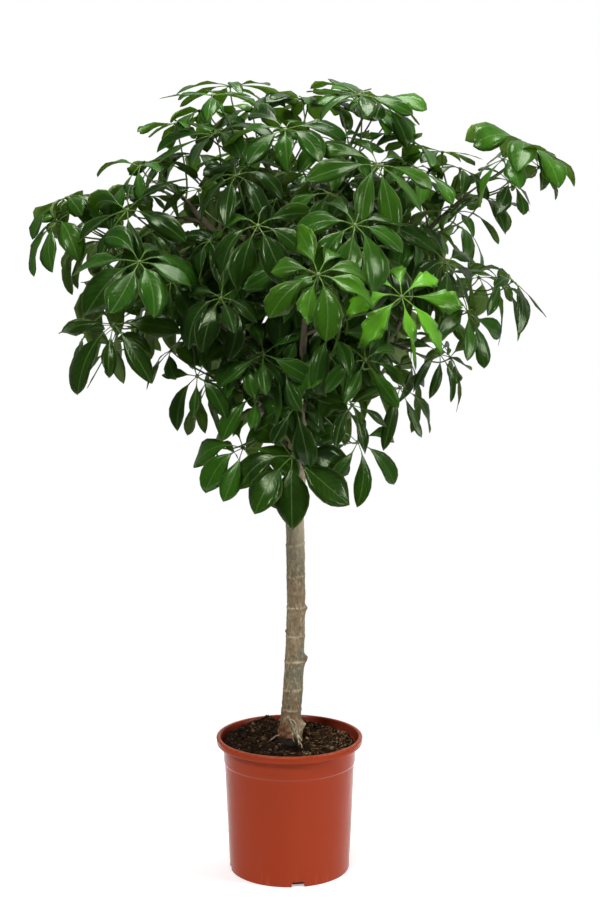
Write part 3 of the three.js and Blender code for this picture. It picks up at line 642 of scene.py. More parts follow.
@dataclass(frozen=True)
class PotFinish:
    """Terracotta-coloured moulded plastic: paler where the foot and the lip are worn, and on the lip also by
    a painted highlight; darkened inside the rim by painted shade; glossy on the shoulder's edge.
    """

    body: Colour = (0.305, 0.035, 0.009)
    # Worn plastic on the foot and the lip; on the lip it also stands for a painted highlight.
    rubbed_and_highlight: Colour = (0.500, 0.120, 0.060)
    dusty: Colour = (0.290, 0.042, 0.014)
    # Painted shade on the wall inside the rim.
    inside: Colour = (0.110, 0.014, 0.006)

    def material(self) -> bpy.types.Material:
        """Builds the material."""
        graph = Graph("pot_plastic")
        cloud = graph.noise(9.0, 3.0)
        scuffs = graph.noise(160.0, 4.0, graph.stretched((1, 1, 0.12)))
        height = graph.height()
        lip = height.eased(0.2210, 0.2249)
        foot = 1 - height.eased(0.0, 0.030)
        colour = graph.mix(cloud.eased(0.35, 0.75) * 0.35, self.body, self.dusty)
        # The top of the lip is paler: partly wear, partly a painted highlight.
        colour = graph.mix(lip * 0.55 * scuffs.eased(0.25, 0.7), colour, self.rubbed_and_highlight)
        colour = graph.mix(foot * scuffs.eased(0.5, 0.8) * 0.4, colour, self.rubbed_and_highlight)
        x, y, _ = graph.parts(graph.place())
        ledge = height.eased(0.1800, 0.1810) * (1 - height.eased(0.1832, 0.1842))
        # Painted shade: the wall inside the rim, above the soil, is darkened.
        within = (1 - (x * x + y * y).eased(0.1140**2, 0.1155**2)) * height.eased(0.2127, 0.2135)
        colour = graph.mix(within * 0.85, colour, self.inside)
        fine = graph.noise(900.0, 2.0)
        return graph.finished(
            Base_Color=colour, Roughness=0.15 + scuffs * 0.10 + cloud * 0.06,
            Normal=graph.bump(fine + scuffs * 0.5, 0.12, 0.0004), IOR=1.3, Specular_IOR_Level=0.22,
            Coat_Weight=ledge * 0.38, Coat_Roughness=0.06)


@dataclass(frozen=True)
class PaperFinish:
    """The studio's pale floor."""

    white: Colour = (0.90, 0.90, 0.90)
    cream: Colour = (0.88, 0.88, 0.88)
    glow: float = 0.45

    def material(self) -> bpy.types.Material:
        """Builds the material, which glows a little, as paper that is lit from below does."""
        graph = Graph("studio_paper")
        tint = graph.mix(graph.noise(3.0), self.white, self.cream)
        return graph.finished(Base_Color=tint, Roughness=0.9, Emission_Color=tint,
                              Emission_Strength=self.glow)


class Facets:
    """The joined corners and the triangles of one solid, and which corners are neighbours."""

    def __init__(self, node: str) -> None:
        """Reads the solid's mesh and joins the corners that lie in one place."""
        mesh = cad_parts[node].data
        corners = np.empty(3 * len(mesh.vertices), dtype=np.float32)
        mesh.vertices.foreach_get("co", corners)
        order = np.empty(len(mesh.loops), dtype=np.int32)
        mesh.loops.foreach_get("vertex_index", order)
        places = corners.reshape(-1, 3).astype(float)
        _, first, joined = np.unique(np.round(places, 5), axis=0, return_index=True, return_inverse=True)
        self.points = places[first]
        self.triangles = joined.reshape(-1)[order].reshape(-1, 3)
        ways = np.vstack([self.triangles[:, [0, 1]], self.triangles[:, [1, 2]], self.triangles[:, [2, 0]]])
        ways = np.unique(np.vstack([ways, ways[:, ::-1]]), axis=0)
        starts = np.searchsorted(ways[:, 0], np.arange(1, len(self.points)))
        self.near = [set(group.tolist()) for group in np.split(ways[:, 1], starts)]


@dataclass
class Leaflet:
    """One leaflet of a solid leaf: its root, its sections from there outwards, and its tip."""

    root: np.ndarray
    middles: np.ndarray
    uppers: np.ndarray
    tip: np.ndarray


@dataclass
class Leaf:
    """One solid leaf: its hub, the axis of its ring, its leaflets and the line of its stalk."""

    hub: np.ndarray
    axis: np.ndarray
    leaflets: list[Leaflet]
    stalk: np.ndarray | None = None


@dataclass(frozen=True)
class LeafReader:
    """Finds the leaves of a leafy shoot in its solid, by the sizes that every solid leaf has.

    A hub's apex lies `hub_rise` over a ring of corners at `hub_radius`. A tip is the only kind of
    corner with three neighbours. The foot of the shoot's first stalk is an equal-sided triangle.
    """

    hub_radius: float = HUB_RADIUS
    hub_rise: float = 1.2 * MM
    under_hub: float = 4.5 * MM
    stalk_radii: tuple[float, float] = (2.5 * MM, 1.7 * MM)
    foot_extra: float = 0.6 * MM
    fork_share: float = 0.6
    reach_from_start: float = 0.3
    reach_from_hub: float = 0.35
    tolerance: float = 0.05 * MM
    solid_steps: int = 3
    fine_steps: int = 12
    bows: tuple[tuple[float, float], ...] = (
        (0, 0), (0.12, 0), (-0.12, 0), (0, 0.12), (0, -0.12), (0.22, 0.08), (-0.22, 0.08), (0.2, -0.15),
        (-0.2, -0.15), (0, 0.26), (0, -0.26), (0.34, 0), (-0.34, 0), (0.3, 0.3), (-0.3, 0.3), (0.3, -0.3),
        (-0.3, -0.3))

    def read(self, node: str) -> tuple[np.ndarray, np.ndarray, list[Leaf]]:
        """Reads one shoot.

        Args:
            node: The name of its solid.

        Returns:
            The middle of its foot, the direction that its first stalk leaves in, and its leaves.
        """
        facets = Facets(node)
        leaves = [self._leaf(facets, apex) for apex in self._apexes(facets)]
        foot, way = self._foot(facets)
        self._add_stalks(facets, foot, way, leaves)
        return foot, way, leaves

    def _apexes(self, facets: Facets) -> list[int]:
        """Finds the corners whose neighbours all lie on a hub's ring."""
        slope = math.hypot(self.hub_radius, self.hub_rise)
        found = []
        for corner, near in enumerate(facets.near):
            away = np.linalg.norm(facets.points[list(near)] - facets.points[corner], axis=1)
            if len(near) > 3 and np.all(abs(away - slope) < self.tolerance):
                found.append(corner)
        return found

    def _leaf(self, facets: Facets, apex: int) -> Leaf:
        """Reads the leaf under an apex: the ring's plane gives its axis."""
        rim = facets.near[apex]
        ring = facets.points[list(rim)]
        normal = np.linalg.svd(ring - ring.mean(0))[2][2]
        axis = normal * np.sign(normal.dot(facets.points[apex] - ring.mean(0)))
        hub = facets.points[apex] - self.hub_rise * axis
        leaf = Leaf(hub, axis, [])
        for tip in (corner for corner, near in enumerate(facets.near) if len(near) == 3):
            leaflet = self._leaflet(facets, tip, rim, leaf)
            if leaflet is not None:
                leaf.leaflets.append(leaflet)
        return leaf

    def _leaflet(self, facets: Facets, tip: int, rim: set[int], leaf: Leaf) -> Leaflet | None:
        """Walks from a tip down to the rim, one section of three corners at a time.

        Args:
            facets: The solid.
            tip: The corner where the walk starts.
            rim: The corners of the leaf's ring.
            leaf: The leaf that has the ring.

        Returns:
            The leaflet, or None where the walk doesn't end at this rim.
        """
        above, section, sections = {tip}, facets.near[tip], []
        while len(section) == 3 and not section & rim and len(sections) < 4:
            sections.insert(0, facets.points[list(section)])
            below = set().union(*(facets.near[corner] for corner in section)) - section - above
            above, section = section, below
        if len(section) != 3 or not section & rim:
            return None
        keel = facets.points[list(section - rim)[0]] - leaf.hub
        out = unit(keel - leaf.axis * keel.dot(leaf.axis))
        middles, uppers = zip(*(self._section(corners) for corners in sections))
        root = leaf.hub + self.hub_radius * out
        return Leaflet(root, np.array(middles), np.array(uppers), facets.points[tip])

    @staticmethod
    def _section(corners: np.ndarray) -> tuple[np.ndarray, np.ndarray]:
        """Reads a section: its two edges are the corners furthest apart, and the third is its keel."""
        keel = max(range(3), key=lambda i: np.linalg.norm(corners[i - 1] - corners[i - 2]))
        middle = (corners[keel - 1] + corners[keel - 2]) / 2
        return middle, unit(middle - corners[keel])

    def _foot(self, facets: Facets) -> tuple[np.ndarray, np.ndarray]:
        """Finds the flat foot: its triangle has sides of the stalk's radius times the root of 3."""
        side = (self.stalk_radii[0] + self.foot_extra) * math.sqrt(3)
        corners = facets.points[facets.triangles]
        lengths = np.linalg.norm(corners - np.roll(corners, 1, axis=1), axis=2)
        best = corners[np.argmin(np.abs(lengths - side).max(axis=1))]
        return best.mean(0), -unit(np.cross(best[1] - best[0], best[2] - best[0]))

    def line(self, start: np.ndarray, way: np.ndarray | None, leaf: Leaf, bow: tuple[float, float],
              steps: int) -> np.ndarray:
        """Draws a stalk: a Bezier cubic from its start to under its hub, bowed sideways and upwards.

        Args:
            start: Where it starts.
            way: The direction that it leaves in, or None where it leaves straight for the hub.
            leaf: The leaf that it carries.
            bow: The shares of its reach that it is bowed by.
            steps: How many stretches it is drawn in.

        Returns:
            Its stations.
        """
        end = leaf.hub - self.under_hub * leaf.axis
        reach = np.linalg.norm(end - start)
        way = unit(leaf.hub - start) if way is None else way
        down = unit(-UP + leaf.axis * leaf.axis[2])
        aside = np.cross(leaf.axis, down) * bow[0] * reach + UP * bow[1] * reach
        second = start + self.reach_from_start * reach * way + aside
        third = end - self.reach_from_hub * reach * leaf.axis + aside
        t = np.linspace(0, 1, steps + 1)[:, None]
        return ((1 - t)**3 * start + 3 * (1 - t)**2 * t * second + 3 * (1 - t) * t**2 * third + t**3 * end)

    def _best_line(self, facets: Facets, start: np.ndarray, way: np.ndarray | None,
                   leaf: Leaf) -> tuple[float, tuple[float, float]]:
        """Finds the bow whose stations have three corners each at the stalk's radius.

        Args:
            facets: The solid.
            start: Where the stalk starts.
            way: The direction that it leaves in, or None.
            leaf: The leaf that it carries.

        Returns:
            How far the corners miss, and the bow.
        """
        extra = self.foot_extra if way is not None else 0.0
        low, high = (radius + extra for radius in self.stalk_radii)
        radii = [high + (low - high) * share for share in (2 / 3, 1 / 3)]
        tries = []
        for bow in self.bows:
            stations = self.line(start, way, leaf, bow, self.solid_steps)[1:3]
            away = np.sort(np.linalg.norm(facets.points[:, None] - stations, axis=2), axis=0)[:3]
            tries.append((float(np.abs(away - radii).max(axis=0).min()), bow))
        return min(tries)

    def _add_stalks(self, facets: Facets, foot: np.ndarray, way: np.ndarray, leaves: list[Leaf]) -> None:
        """Gives each leaf its stalk: the best fit to the foot is the first, and the rest fork from it."""
        fits = [self._best_line(facets, foot, way, leaf) for leaf in leaves]
        first = min(range(len(leaves)), key=lambda i: fits[i][0])
        coarse = self.line(foot, way, leaves[first], fits[first][1], self.solid_steps)
        fork = coarse[0] + self.fork_share * (coarse[1] - coarse[0])
        for i, leaf in enumerate(leaves):
            start, heading = (foot, way) if i == first else (fork, None)
            miss, bow = fits[i] if i == first else self._best_line(facets, fork, None, leaf)
            leaf.stalk = self.line(start, heading, leaf, bow, self.fine_steps)
            if miss > ALLOWED_MISS:
                LOG.warning("a stalk misses its solid by %.2f mm", miss / MM)


class Age(Enum):
    """How far a shoot's leaves have grown."""

    FULL = "leaf"
    NEW = "young_leaf"


@dataclass(frozen=True)
class Mesh:
    """How finely a leaflet is meshed: its rows along, and its columns across the upper and lower side."""

    rows: tuple[float, ...]
    upper: tuple[float, ...]
    lower: tuple[float, ...]
    stalk_sides: int


ACROSS = (1, 0.5, 0, -0.5, -1), (-0.5, 0, 0.5)
OUTER = Mesh((-0.035, 0.14, 0.22, 0.33, 0.46, 0.59, 0.71, 0.81, 0.89, 0.94, 0.965), *ACROSS, 7)
YOUNG = Mesh((-0.035, 0.13, 0.20, 0.32, 0.44, 0.56, 0.69, 0.72, 0.80, 0.85, 0.88, 0.94, 0.98), *ACROSS, 7)
INNER = Mesh((-0.035, 0.16, 0.28, 0.46, 0.67, 0.84, 0.94), *ACROSS, 5)


@dataclass
class Habit:
    """How a leaf has grown: its leaflets' breadth, hang and teeth, and how light and how new each one is."""

    girth: float
    hang: float
    teeth: float
    tone: np.ndarray
    newness: np.ndarray


@dataclass
class Foliage:
    """Turns leaves into fine surfaces, and grows the leaves that the solids leave out."""

    wide_shares: tuple[float, ...] = (0.15, 0.45, 0.8)
    stem_share: float = 0.16
    blade_end: float = 0.985
    lean: tuple[float, float] = (1.10, 1.75)
    widest: float = 0.210
    slim: tuple[float, float] = (0.74, 1.04)
    first_tooth: float = 0.56
    tooth: float = 0.16
    tooth_depth: float = 0.34
    tooth_lean: float = 0.40
    roundness: float = 0.62
    rib_steps: int = 20
    stem_radius: float = 0.85 * MM
    thickness: float = 0.45 * MM
    droop: tuple[float, float] = (-0.16, 0.56)
    sway: float = 0.27
    twist: float = 0.80
    fold: tuple[float, float] = (0.08, 0.55)
    seed: int = 21
    draw: np.random.Generator = field(init=False)

    def __post_init__(self) -> None:
        """Starts the random draw."""
        self.draw = np.random.default_rng(self.seed)

    def half_width(self, share: np.ndarray, toothed: np.ndarray) -> np.ndarray:
        """Half a leaflet's width as a share of its greatest.

        It is a power, `roundness`, of a sine that leans to the tip, held back towards the foot. A toothed
        leaflet leans more, and its width grows along each tooth and drops back at its end.

        Args:
            share: Places along the rib.
            toothed: How strong each leaflet's teeth are, from 0 to 1.

        Returns:
            One row a leaflet.
        """
        along = np.clip((share - self.stem_share) / (self.blade_end - self.stem_share), 0.0, 1.0)
        lean = self.draw.uniform(*self.lean, (len(toothed), 1)) + self.tooth_lean * toothed[:, None]
        smooth = np.sin(math.pi * along**lean) ** self.roundness * eased(along, -0.28, 0.42)
        saw = ((share - self.first_tooth) / self.tooth + 1e-6) % 1 - 0.4
        return smooth * (1 + self.tooth_depth * toothed[:, None] * saw * (share > self.first_tooth + 0.01))

    def grown(self, hub: np.ndarray, axis: np.ndarray, length: float, weight: float) -> list[Leaflet]:
        """Grows the ring of leaflets of a leaf that has no solid.

        Each rib is the sum of short steps along out cos rise + axis sin rise, where the rise falls
        steadily from the root to the tip, with a pull downwards that grows in the same way.

        Args:
            hub: The leaf's hub.
            axis: The axis of its ring.
            length: The length of its longest leaflet.
            weight: How far the leaflets bend, against the usual.

        Returns:
            Its leaflets.
        """
        count = int(self.draw.integers(6, 9))
        side = unit(np.cross(axis, any_side(axis)))
        other = np.cross(axis, side)
        start = self.draw.uniform(0, FULL_TURN)
        t = np.linspace(0, 1, self.rib_steps + 1)
        made = []
        for i in range(count):
            turn = start + FULL_TURN * (i + self.draw.normal(0, 0.10)) / count
            out = side * math.cos(turn) + other * math.sin(turn)
            rise = self.draw.normal(0.12, 0.14) - weight * self.draw.uniform(0.5, 1.1) * t
            pull = np.outer(weight * (0.25 + 0.5 * t), UP)
            way = unit(np.outer(np.cos(rise), out) + np.outer(np.sin(rise), axis) - pull)
            reach = length * self.draw.uniform(0.68, 1.0)
            steps = np.cumsum(way[:-1] * reach / self.rib_steps, axis=0)
            line = hub + HUB_RADIUS * out + np.vstack([np.zeros(3), steps])
            rows = [round(self.rib_steps * share) for share in self.wide_shares]
            uppers = unit(axis - way[rows] * (way[rows] @ axis)[:, None])
            made.append(Leaflet(line[0], line[rows], uppers, line[-1]))
        return made

    def ribs(self, leaflets: list[Leaflet], at: np.ndarray,
             hang: float) -> tuple[np.ndarray, np.ndarray, np.ndarray]:
        """Draws each leaflet's rib through its sections, and lets it hang, sway and twist a little.

        Args:
            leaflets: The leaflets.
            at: Shares of the rib's length where it is wanted.
            hang: How far it hangs, as a share of what it may.

        Returns:
            Stations, side directions and upper directions, one row of each a leaflet.
        """
        stations, sides, uppers = [], [], []
        bent = np.clip(at, 0, 1)[:, None] ** 2.2
        for leaflet in leaflets:
            shares = np.array(self.wide_shares[-len(leaflet.middles):])
            knots = np.array([0.0, *shares, 1.0])
            line = through(knots, np.vstack([leaflet.root, leaflet.middles, leaflet.tip]), at)
            length = np.linalg.norm(np.diff(line, axis=0), axis=1).sum()
            upper = through(shares[-2:], leaflet.uppers[-2:], np.clip(at, 0.1, 1.0))
            side = unit(np.cross(upper, unit(np.gradient(line, axis=0))))
            fall = hang * self.draw.uniform(*self.droop) * length
            sway, twist = self.draw.normal(0, (self.sway, self.twist))
            line = line - (0.6 * UP + 0.6 * upper) * fall * bent + side * sway * length * bent * 0.5
            way = unit(np.gradient(line, axis=0))
            side = unit(side - way * (side * way).sum(-1, keepdims=True))
            upper = np.cross(way, side)
            roll = twist * bent
            sides.append(side * np.cos(roll) + upper * np.sin(roll))
            uppers.append(upper * np.cos(roll) - side * np.sin(roll))
            stations.append(line)
        return np.array(stations), np.array(sides), np.array(uppers)

    def blades(self, leaflets: list[Leaflet], mesh: Mesh, habit: Habit) -> Surface:
        """Builds closed blades: place + side across half + upper (fold |across| - curl across² + wave) half.

        Args:
            leaflets: The leaflets.
            mesh: How finely they are meshed.
            habit: How they have grown.

        Returns:
            One surface with a closed blade for each leaflet.
        """
        at = np.array([*mesh.rows, 1.0])
        line, side, upper = self.ribs(leaflets, at, habit.hang)
        count, last = len(leaflets), len(mesh.rows)
        length = np.linalg.norm(np.diff(line, axis=1), axis=2).sum(1)
        share = at[:-1]
        slim = habit.girth * self.draw.uniform(*self.slim) * self.draw.uniform(0.90, 1.10, (count, 1))
        toothed = np.full(count, habit.teeth)
        half = length[:, None] * self.widest * slim * self.half_width(share, toothed)
        half = np.maximum(half, self.stem_radius)
        s = np.array([*mesh.upper, *mesh.lower], dtype=float)
        lower = np.repeat([0.0, 1.0], [len(mesh.upper), len(mesh.lower)])
        stem = (1 - eased(share, 0.13, 0.24))[None, :, None]
        fold = self.draw.uniform(*self.fold, (count, 1, 1))
        curl = self.draw.uniform(0.06, 0.30, (count, 1, 1))
        phase = self.draw.uniform(0, FULL_TURN, (count, 1, 1))
        along = share[None, :, None]
        wave = 0.13 * np.sin(FULL_TURN * 1.7 * along + phase + 1.8 * np.sign(s)) * s**2
        arch = np.sqrt(np.maximum(1 - s**2, 0))
        wide = half[..., None]
        height = wide * ((1 - stem) * (fold * np.abs(s) - curl * s**2 + wave) + stem * arch * 0.9)
        thick = self.thickness + 0.7 * MM * (s == 0) * (1 - 0.7 * along)
        depth = (1 - stem) * thick + stem * 1.8 * wide * arch
        height = height - lower * depth
        notch = toothed[:, None, None] * self.draw.uniform(-0.02, 0.10, (count, 1, 1)) * length[:, None, None]
        ahead = notch * eased(along, 0.8, 0.96) * (1 - np.cos(FULL_TURN * 0.9 * np.abs(s)))
        way = unit(np.gradient(line, axis=1))
        rings = (line[:, :last, None] + side[:, :last, None] * (wide * s)[..., None]
                 + upper[:, :last, None] * height[..., None] + way[:, :last, None] * ahead[..., None])
        return self._joined_blades(self._inside(rings), line, half, s, lower, share, habit)

    @staticmethod
    def _inside(rings: np.ndarray) -> np.ndarray:
        """Shifts each blade by what it stands out of the solid plant's box."""
        low, high = np.array(SOLID_BOX)
        over = np.maximum(rings.max((1, 2)) - high, 0) - np.maximum(low - rings.min((1, 2)), 0)
        return rings - over[:, None, None]

    def _joined_blades(self, rings: np.ndarray, line: np.ndarray, half: np.ndarray, s: np.ndarray,
                       lower: np.ndarray, share: np.ndarray, habit: Habit) -> Surface:
        """Numbers the faces of all blades and sets their marks and kinds.

        Args:
            rings: Points of each blade, by row and place round the blade.
            line: Stations of each rib.
            half: Half-width at each row.
            s: Place across, for each point round the blade.
            lower: 1 for each point on the underside.
            share: Place along, for each row.
            habit: How the blades have grown.

        Returns:
            The surface.
        """
        count, rows, sides = rings.shape[:3]
        grid = rows * sides
        across = np.broadcast_to(s, (count, rows, sides))
        along = np.broadcast_to(share[None, :, None], across.shape)
        mark = np.stack([across, along, np.broadcast_to(half[..., None] * 100, across.shape)], -1)
        low, high = np.array(SOLID_BOX)
        ends = np.clip(np.stack([line[:, 0], line[:, -1]], 1), low, high)
        end_marks = np.tile([[0.0, 0.0, 0.1], [0.0, 1.0, 0.1]], (count, 1, 1))
        points = np.concatenate([rings.reshape(count, grid, 3), ends], 1)
        marks = np.concatenate([mark.reshape(count, grid, 3), end_marks], 1)
        offset = (np.arange(count) * (grid + 2))[:, None, None]
        under = np.maximum(lower, np.roll(lower, -1))
        faces = np.vstack([ring_triangles(rows, under > 0), cap_triangles(grid, sides)])
        below = np.concatenate([np.repeat(np.tile(under, rows - 1), 2), np.tile(under, 2)])
        kind = np.stack([np.tile(below, count), np.repeat(habit.tone, len(faces)),
                         np.repeat(habit.newness, len(faces))], -1)
        return Surface.of(points.reshape(-1, 3), np.empty((0, 4), dtype=int), (faces + offset).reshape(-1, 3),
                          marks.reshape(-1, 3), kind)

    @staticmethod
    def stalk(leaf: Leaf, mesh: Mesh) -> Surface:
        """Carries a circle along a leaf's stalk and swells it into the hub and at the foot."""
        head = leaf.hub + leaf.axis * np.array([-2.0, -0.4, 0.8, 1.6])[:, None] * MM
        path = np.vstack([leaf.stalk, head])
        share = np.linspace(0, 1, len(leaf.stalk))
        radii = (1.2 + 0.5 * (1 - share) + 1.1 * np.exp(-share / 0.05)) * MM
        radii = np.concatenate([radii, np.array([2.6, 3.7, 3.5, 2.0]) * MM])
        return tube(path, radii, mesh.stalk_sides, finish=1)


@dataclass
class Shoot:
    """A leafy shoot: where its foot stands, the direction of its twig, and its leaves."""

    node: str
    foot: np.ndarray
    way: np.ndarray
    leaves: list[Leaf]
    extra: list[Leaf] = field(default_factory=list)


@dataclass
class Crown:
    """Every leafy shoot: fine leaves in the place of solid ones, and more of them inside the crown."""

    count: int = 49
    new_shoots: dict[str, float] = field(
        default_factory=lambda: {"shoot_01": 0.32, "shoot_13": 0.53, "shoot_16": 0.18, "shoot_19": 1.00})
    girths: dict[str, float] = field(default_factory=lambda: {
        "shoot_09": 1.16, "shoot_19": 1.15, "shoot_13": 1.15, "shoot_17": 0.8, "shoot_20": 0.75,
        "shoot_21": 0.62, "shoot_22": 0.62, "shoot_23": 0.75, "shoot_24": 0.8, "shoot_11": 0.75,
        "shoot_39": 0.75, "shoot_34": 0.8, "shoot_33": 0.65, "shoot_05": 0.72, "shoot_15": 0.85,
        "shoot_03": 0.85, "shoot_02": 0.9, "shoot_08": 0.9, "shoot_36": 0.8, "shoot_42": 0.8})
    finely_meshed_from: float = 0.52
    middle_mm: tuple[float, float, float] = (15, 0, 960)
    tries: int = 40
    stalk_steps: int = 7
    outer_feet: tuple[float, float] = (0.7, 0.97)
    inner_feet: tuple[float, float] = (0.25, 0.95)
    reaches_mm: tuple[float, float] = (55, 150)
    lengths_mm: tuple[float, float] = (62, 100)
    least_room: float = 28 * MM
    trunk_room: float = 30 * MM
    shallow: tuple[float, ...] = (0.94, 0.78, 0.60)
    lowest: tuple[float, float] = (0.72, 0.75)
    light_between: tuple[float, float] = (1.00, 1.24)
    gaps_mm: tuple[tuple[float, float, float], ...] = (
        (-200, 815, 70), (-165, 770, 60), (-60, 905, 40), (-170, 1040, 40), (-200, 1165, 50),
        (-385, 1080, 60), (-360, 880, 60), (175, 800, 80), (240, 820, 80), (270, 900, 60), (310, 1030, 60),
        (300, 960, 50), (235, 1040, 40), (75, 1130, 40), (25, 1170, 40), (110, 770, 50), (-110, 740, 50),
        (-250, 840, 55), (184, 885, 45), (-118, 945, 45), (-35, 775, 38))
    outer_mm: tuple[tuple[float, float, float], ...] = (
        (130, -20, 1262), (160, 20, 1236), (241, -10, 1176), (268, -30, 1150), (345, -20, 1130),
        (395, 0, 1152), (-142, 10, 1240), (-178, 0, 1220), (-350, -20, 1105), (22, -10, 1256),
        (80, 40, 1252), (-60, 60, 1245), (195, -40, 1190), (140, -110, 1250), (105, -175, 1258),
        (-112, -160, 1258), (10, -150, 790), (-5, -140, 850), (-60, -150, 860), (60, -150, 870))
    reader: LeafReader = field(default_factory=LeafReader)
    foliage: Foliage = field(default_factory=Foliage)
    shoots: list[Shoot] = field(init=False)

    def __post_init__(self) -> None:
        """Reads all shoots from their solids."""
        nodes = [f"shoot_{number:02d}" for number in range(1, self.count + 1)]
        self.shoots = [Shoot(node, *self.reader.read(node)) for node in nodes]

    def fill(self, wood: "Wood") -> None:
        """Adds leaves at the crown's outline, and inside it where the place is furthest from all others.

        Args:
            wood: The wood that their stalks grow from.
        """
        draw = self.foliage.draw
        hubs = np.array([leaf.hub for shoot in self.shoots for leaf in shoot.leaves])
        taken = hubs
        for place in np.array(self.outer_mm) * MM:
            shoot = min(self.shoots, key=lambda one: np.linalg.norm(one.foot - place))
            start = wood.twig_start(shoot)
            foot = start + (shoot.foot - start) * draw.uniform(*self.outer_feet)
            shoot.extra.append(self.new_leaf(foot, unit(place - foot), place, 1.0))
            taken = np.vstack([taken, place])
        for limit in self.shallow:
            for shoot in self.shoots:
                start = wood.twig_start(shoot)
                feet = start + (shoot.foot - start) * draw.uniform(*self.inner_feet, (self.tries, 1))
                heading = unit(unit(draw.normal(size=(self.tries, 3))) + shoot.way * 0.8 + UP * 0.25)
                places = feet + heading * draw.uniform(*self.reaches_mm, (self.tries, 1)) * MM
                room = np.linalg.norm(places[:, None] - taken, axis=2).min(1)
                room[~self.within(places, hubs, limit)] = 0
                best = int(room.argmax())
                if room[best] > self.least_room:
                    shoot.extra.append(self.new_leaf(feet[best], heading[best], places[best], 0.6))
                    taken = np.vstack([taken, places[best]])

    def within(self, places: np.ndarray, hubs: np.ndarray, limit: float) -> np.ndarray:
        """Tells which places lie inside the crown, beside the solid hubs in nearly the same direction.

        Args:
            places: The places.
            hubs: The hubs of the solid leaves.
            limit: The share of those hubs' distance from the crown's middle that a place may have.

        Returns:
            True or False for each place.
        """
        middle = np.array(self.middle_mm) * MM
        reach = np.linalg.norm(hubs - middle, axis=1)
        away = np.linalg.norm(places - middle, axis=1)
        nearness = unit(places - middle) @ unit(hubs - middle).T
        beside = np.sort(reach[np.argsort(-nearness, axis=1)[:, :4]], axis=1)[:, 1]
        out = np.hypot(places[:, 0], places[:, 1])
        hides_trunk = (abs(places[:, 0]) < 0.06) & (places[:, 1] < 0) & (places[:, 2] < 0.78)
        high = places[:, 2] > self.lowest[0] + self.lowest[1] * out
        gaps = np.array(self.gaps_mm) * MM
        leafage = places[:, None, [0, 2]] - [0, 0.03]
        open_air = (np.linalg.norm(leafage - gaps[:, :2], axis=2) < gaps[:, 2]).any(1)
        return (away < limit * beside) & (out > self.trunk_room) & high & ~hides_trunk & ~open_air

    def new_leaf(self, foot: np.ndarray, heading: np.ndarray, hub: np.ndarray, upright: float) -> Leaf:
        """Grows one more leaf on a shoot.

        Args:
            foot: Where its stalk leaves the twig.
            heading: The direction from there to its hub.
            hub: Its hub.
            upright: How strongly the axis of its ring turns upwards.

        Returns:
            The leaf.
        """
        outward = unit(hub - np.array(self.middle_mm) * MM)
        axis = unit(heading * 0.6 + outward * 0.5 + UP * upright + self.foliage.draw.normal(0, 0.3, 3))
        length = self.foliage.draw.uniform(*self.lengths_mm) * MM
        leaf = Leaf(hub, axis, self.foliage.grown(hub, axis, length, 1 - 0.65 * self._height(hub)))
        bow = self.reader.bows[int(self.foliage.draw.integers(0, 9))]
        leaf.stalk = self.reader.line(foot, heading, leaf, bow, self.stalk_steps)
        return leaf

    def build(self, leaf: bpy.types.Material, stalk: bpy.types.Material) -> None:
        """Builds a piece for each shoot.

        Args:
            leaf: The leaflets' finish.
            stalk: The stalks' finish.
        """
        for shoot in self.shoots:
            age = Age.NEW if shoot.node in self.new_shoots else Age.FULL
            new = self.new_shoots.get(shoot.node, 0.0)
            girth = self.girths.get(shoot.node, 1.0)
            mesh = YOUNG if new > self.finely_meshed_from else OUTER
            parts = [part for one in shoot.leaves for part in self._fine(one, new, mesh, girth)]
            parts += [part for one in shoot.extra for part in self._fine(one, 0.0, INNER, 1.0)]
            surface = Surface.joined(parts)
            piece(f"leafy_{shoot.node}", surface.mesh(shoot.node), [leaf, stalk], [shoot.node])

    def _fine(self, leaf: Leaf, new: float, mesh: Mesh, girth: float) -> list[Surface]:
        """Builds the blades and the stalk of one leaf, which is as new as its shoot, or newer by chance. Its
        tone is painted lighter the higher it stands in the crown, as painted light.
        """
        draw = self.foliage.draw
        count = len(leaf.leaflets)
        high = self._height(leaf.hub)
        # Painted light: a leaf's tone is lighter the higher it stands in the crown.
        tone = np.clip(draw.uniform(-0.55, 0.85) + 0.30 * high + draw.normal(0, 0.24, count), 0, 1)
        chance = (0.10 + 0.45 * high) * draw.uniform(0, 1) ** 2 * (1 - new)
        fresh = np.clip(new + chance + draw.normal(0, 0.04 + 0.12 * new, count), 0, 1)
        habit = Habit(girth, (1 - 0.6 * new) * (1 - 0.6 * high), float(eased(new, 0.3, 0.8)), tone, fresh)
        return [self.foliage.blades(leaf.leaflets, mesh, habit), self.foliage.stalk(leaf, mesh)]

    def _height(self, place: np.ndarray) -> float:
        """How high a place lies in the crown's upper part, from 0 to 1."""
        return float(eased(place[2], *self.light_between))


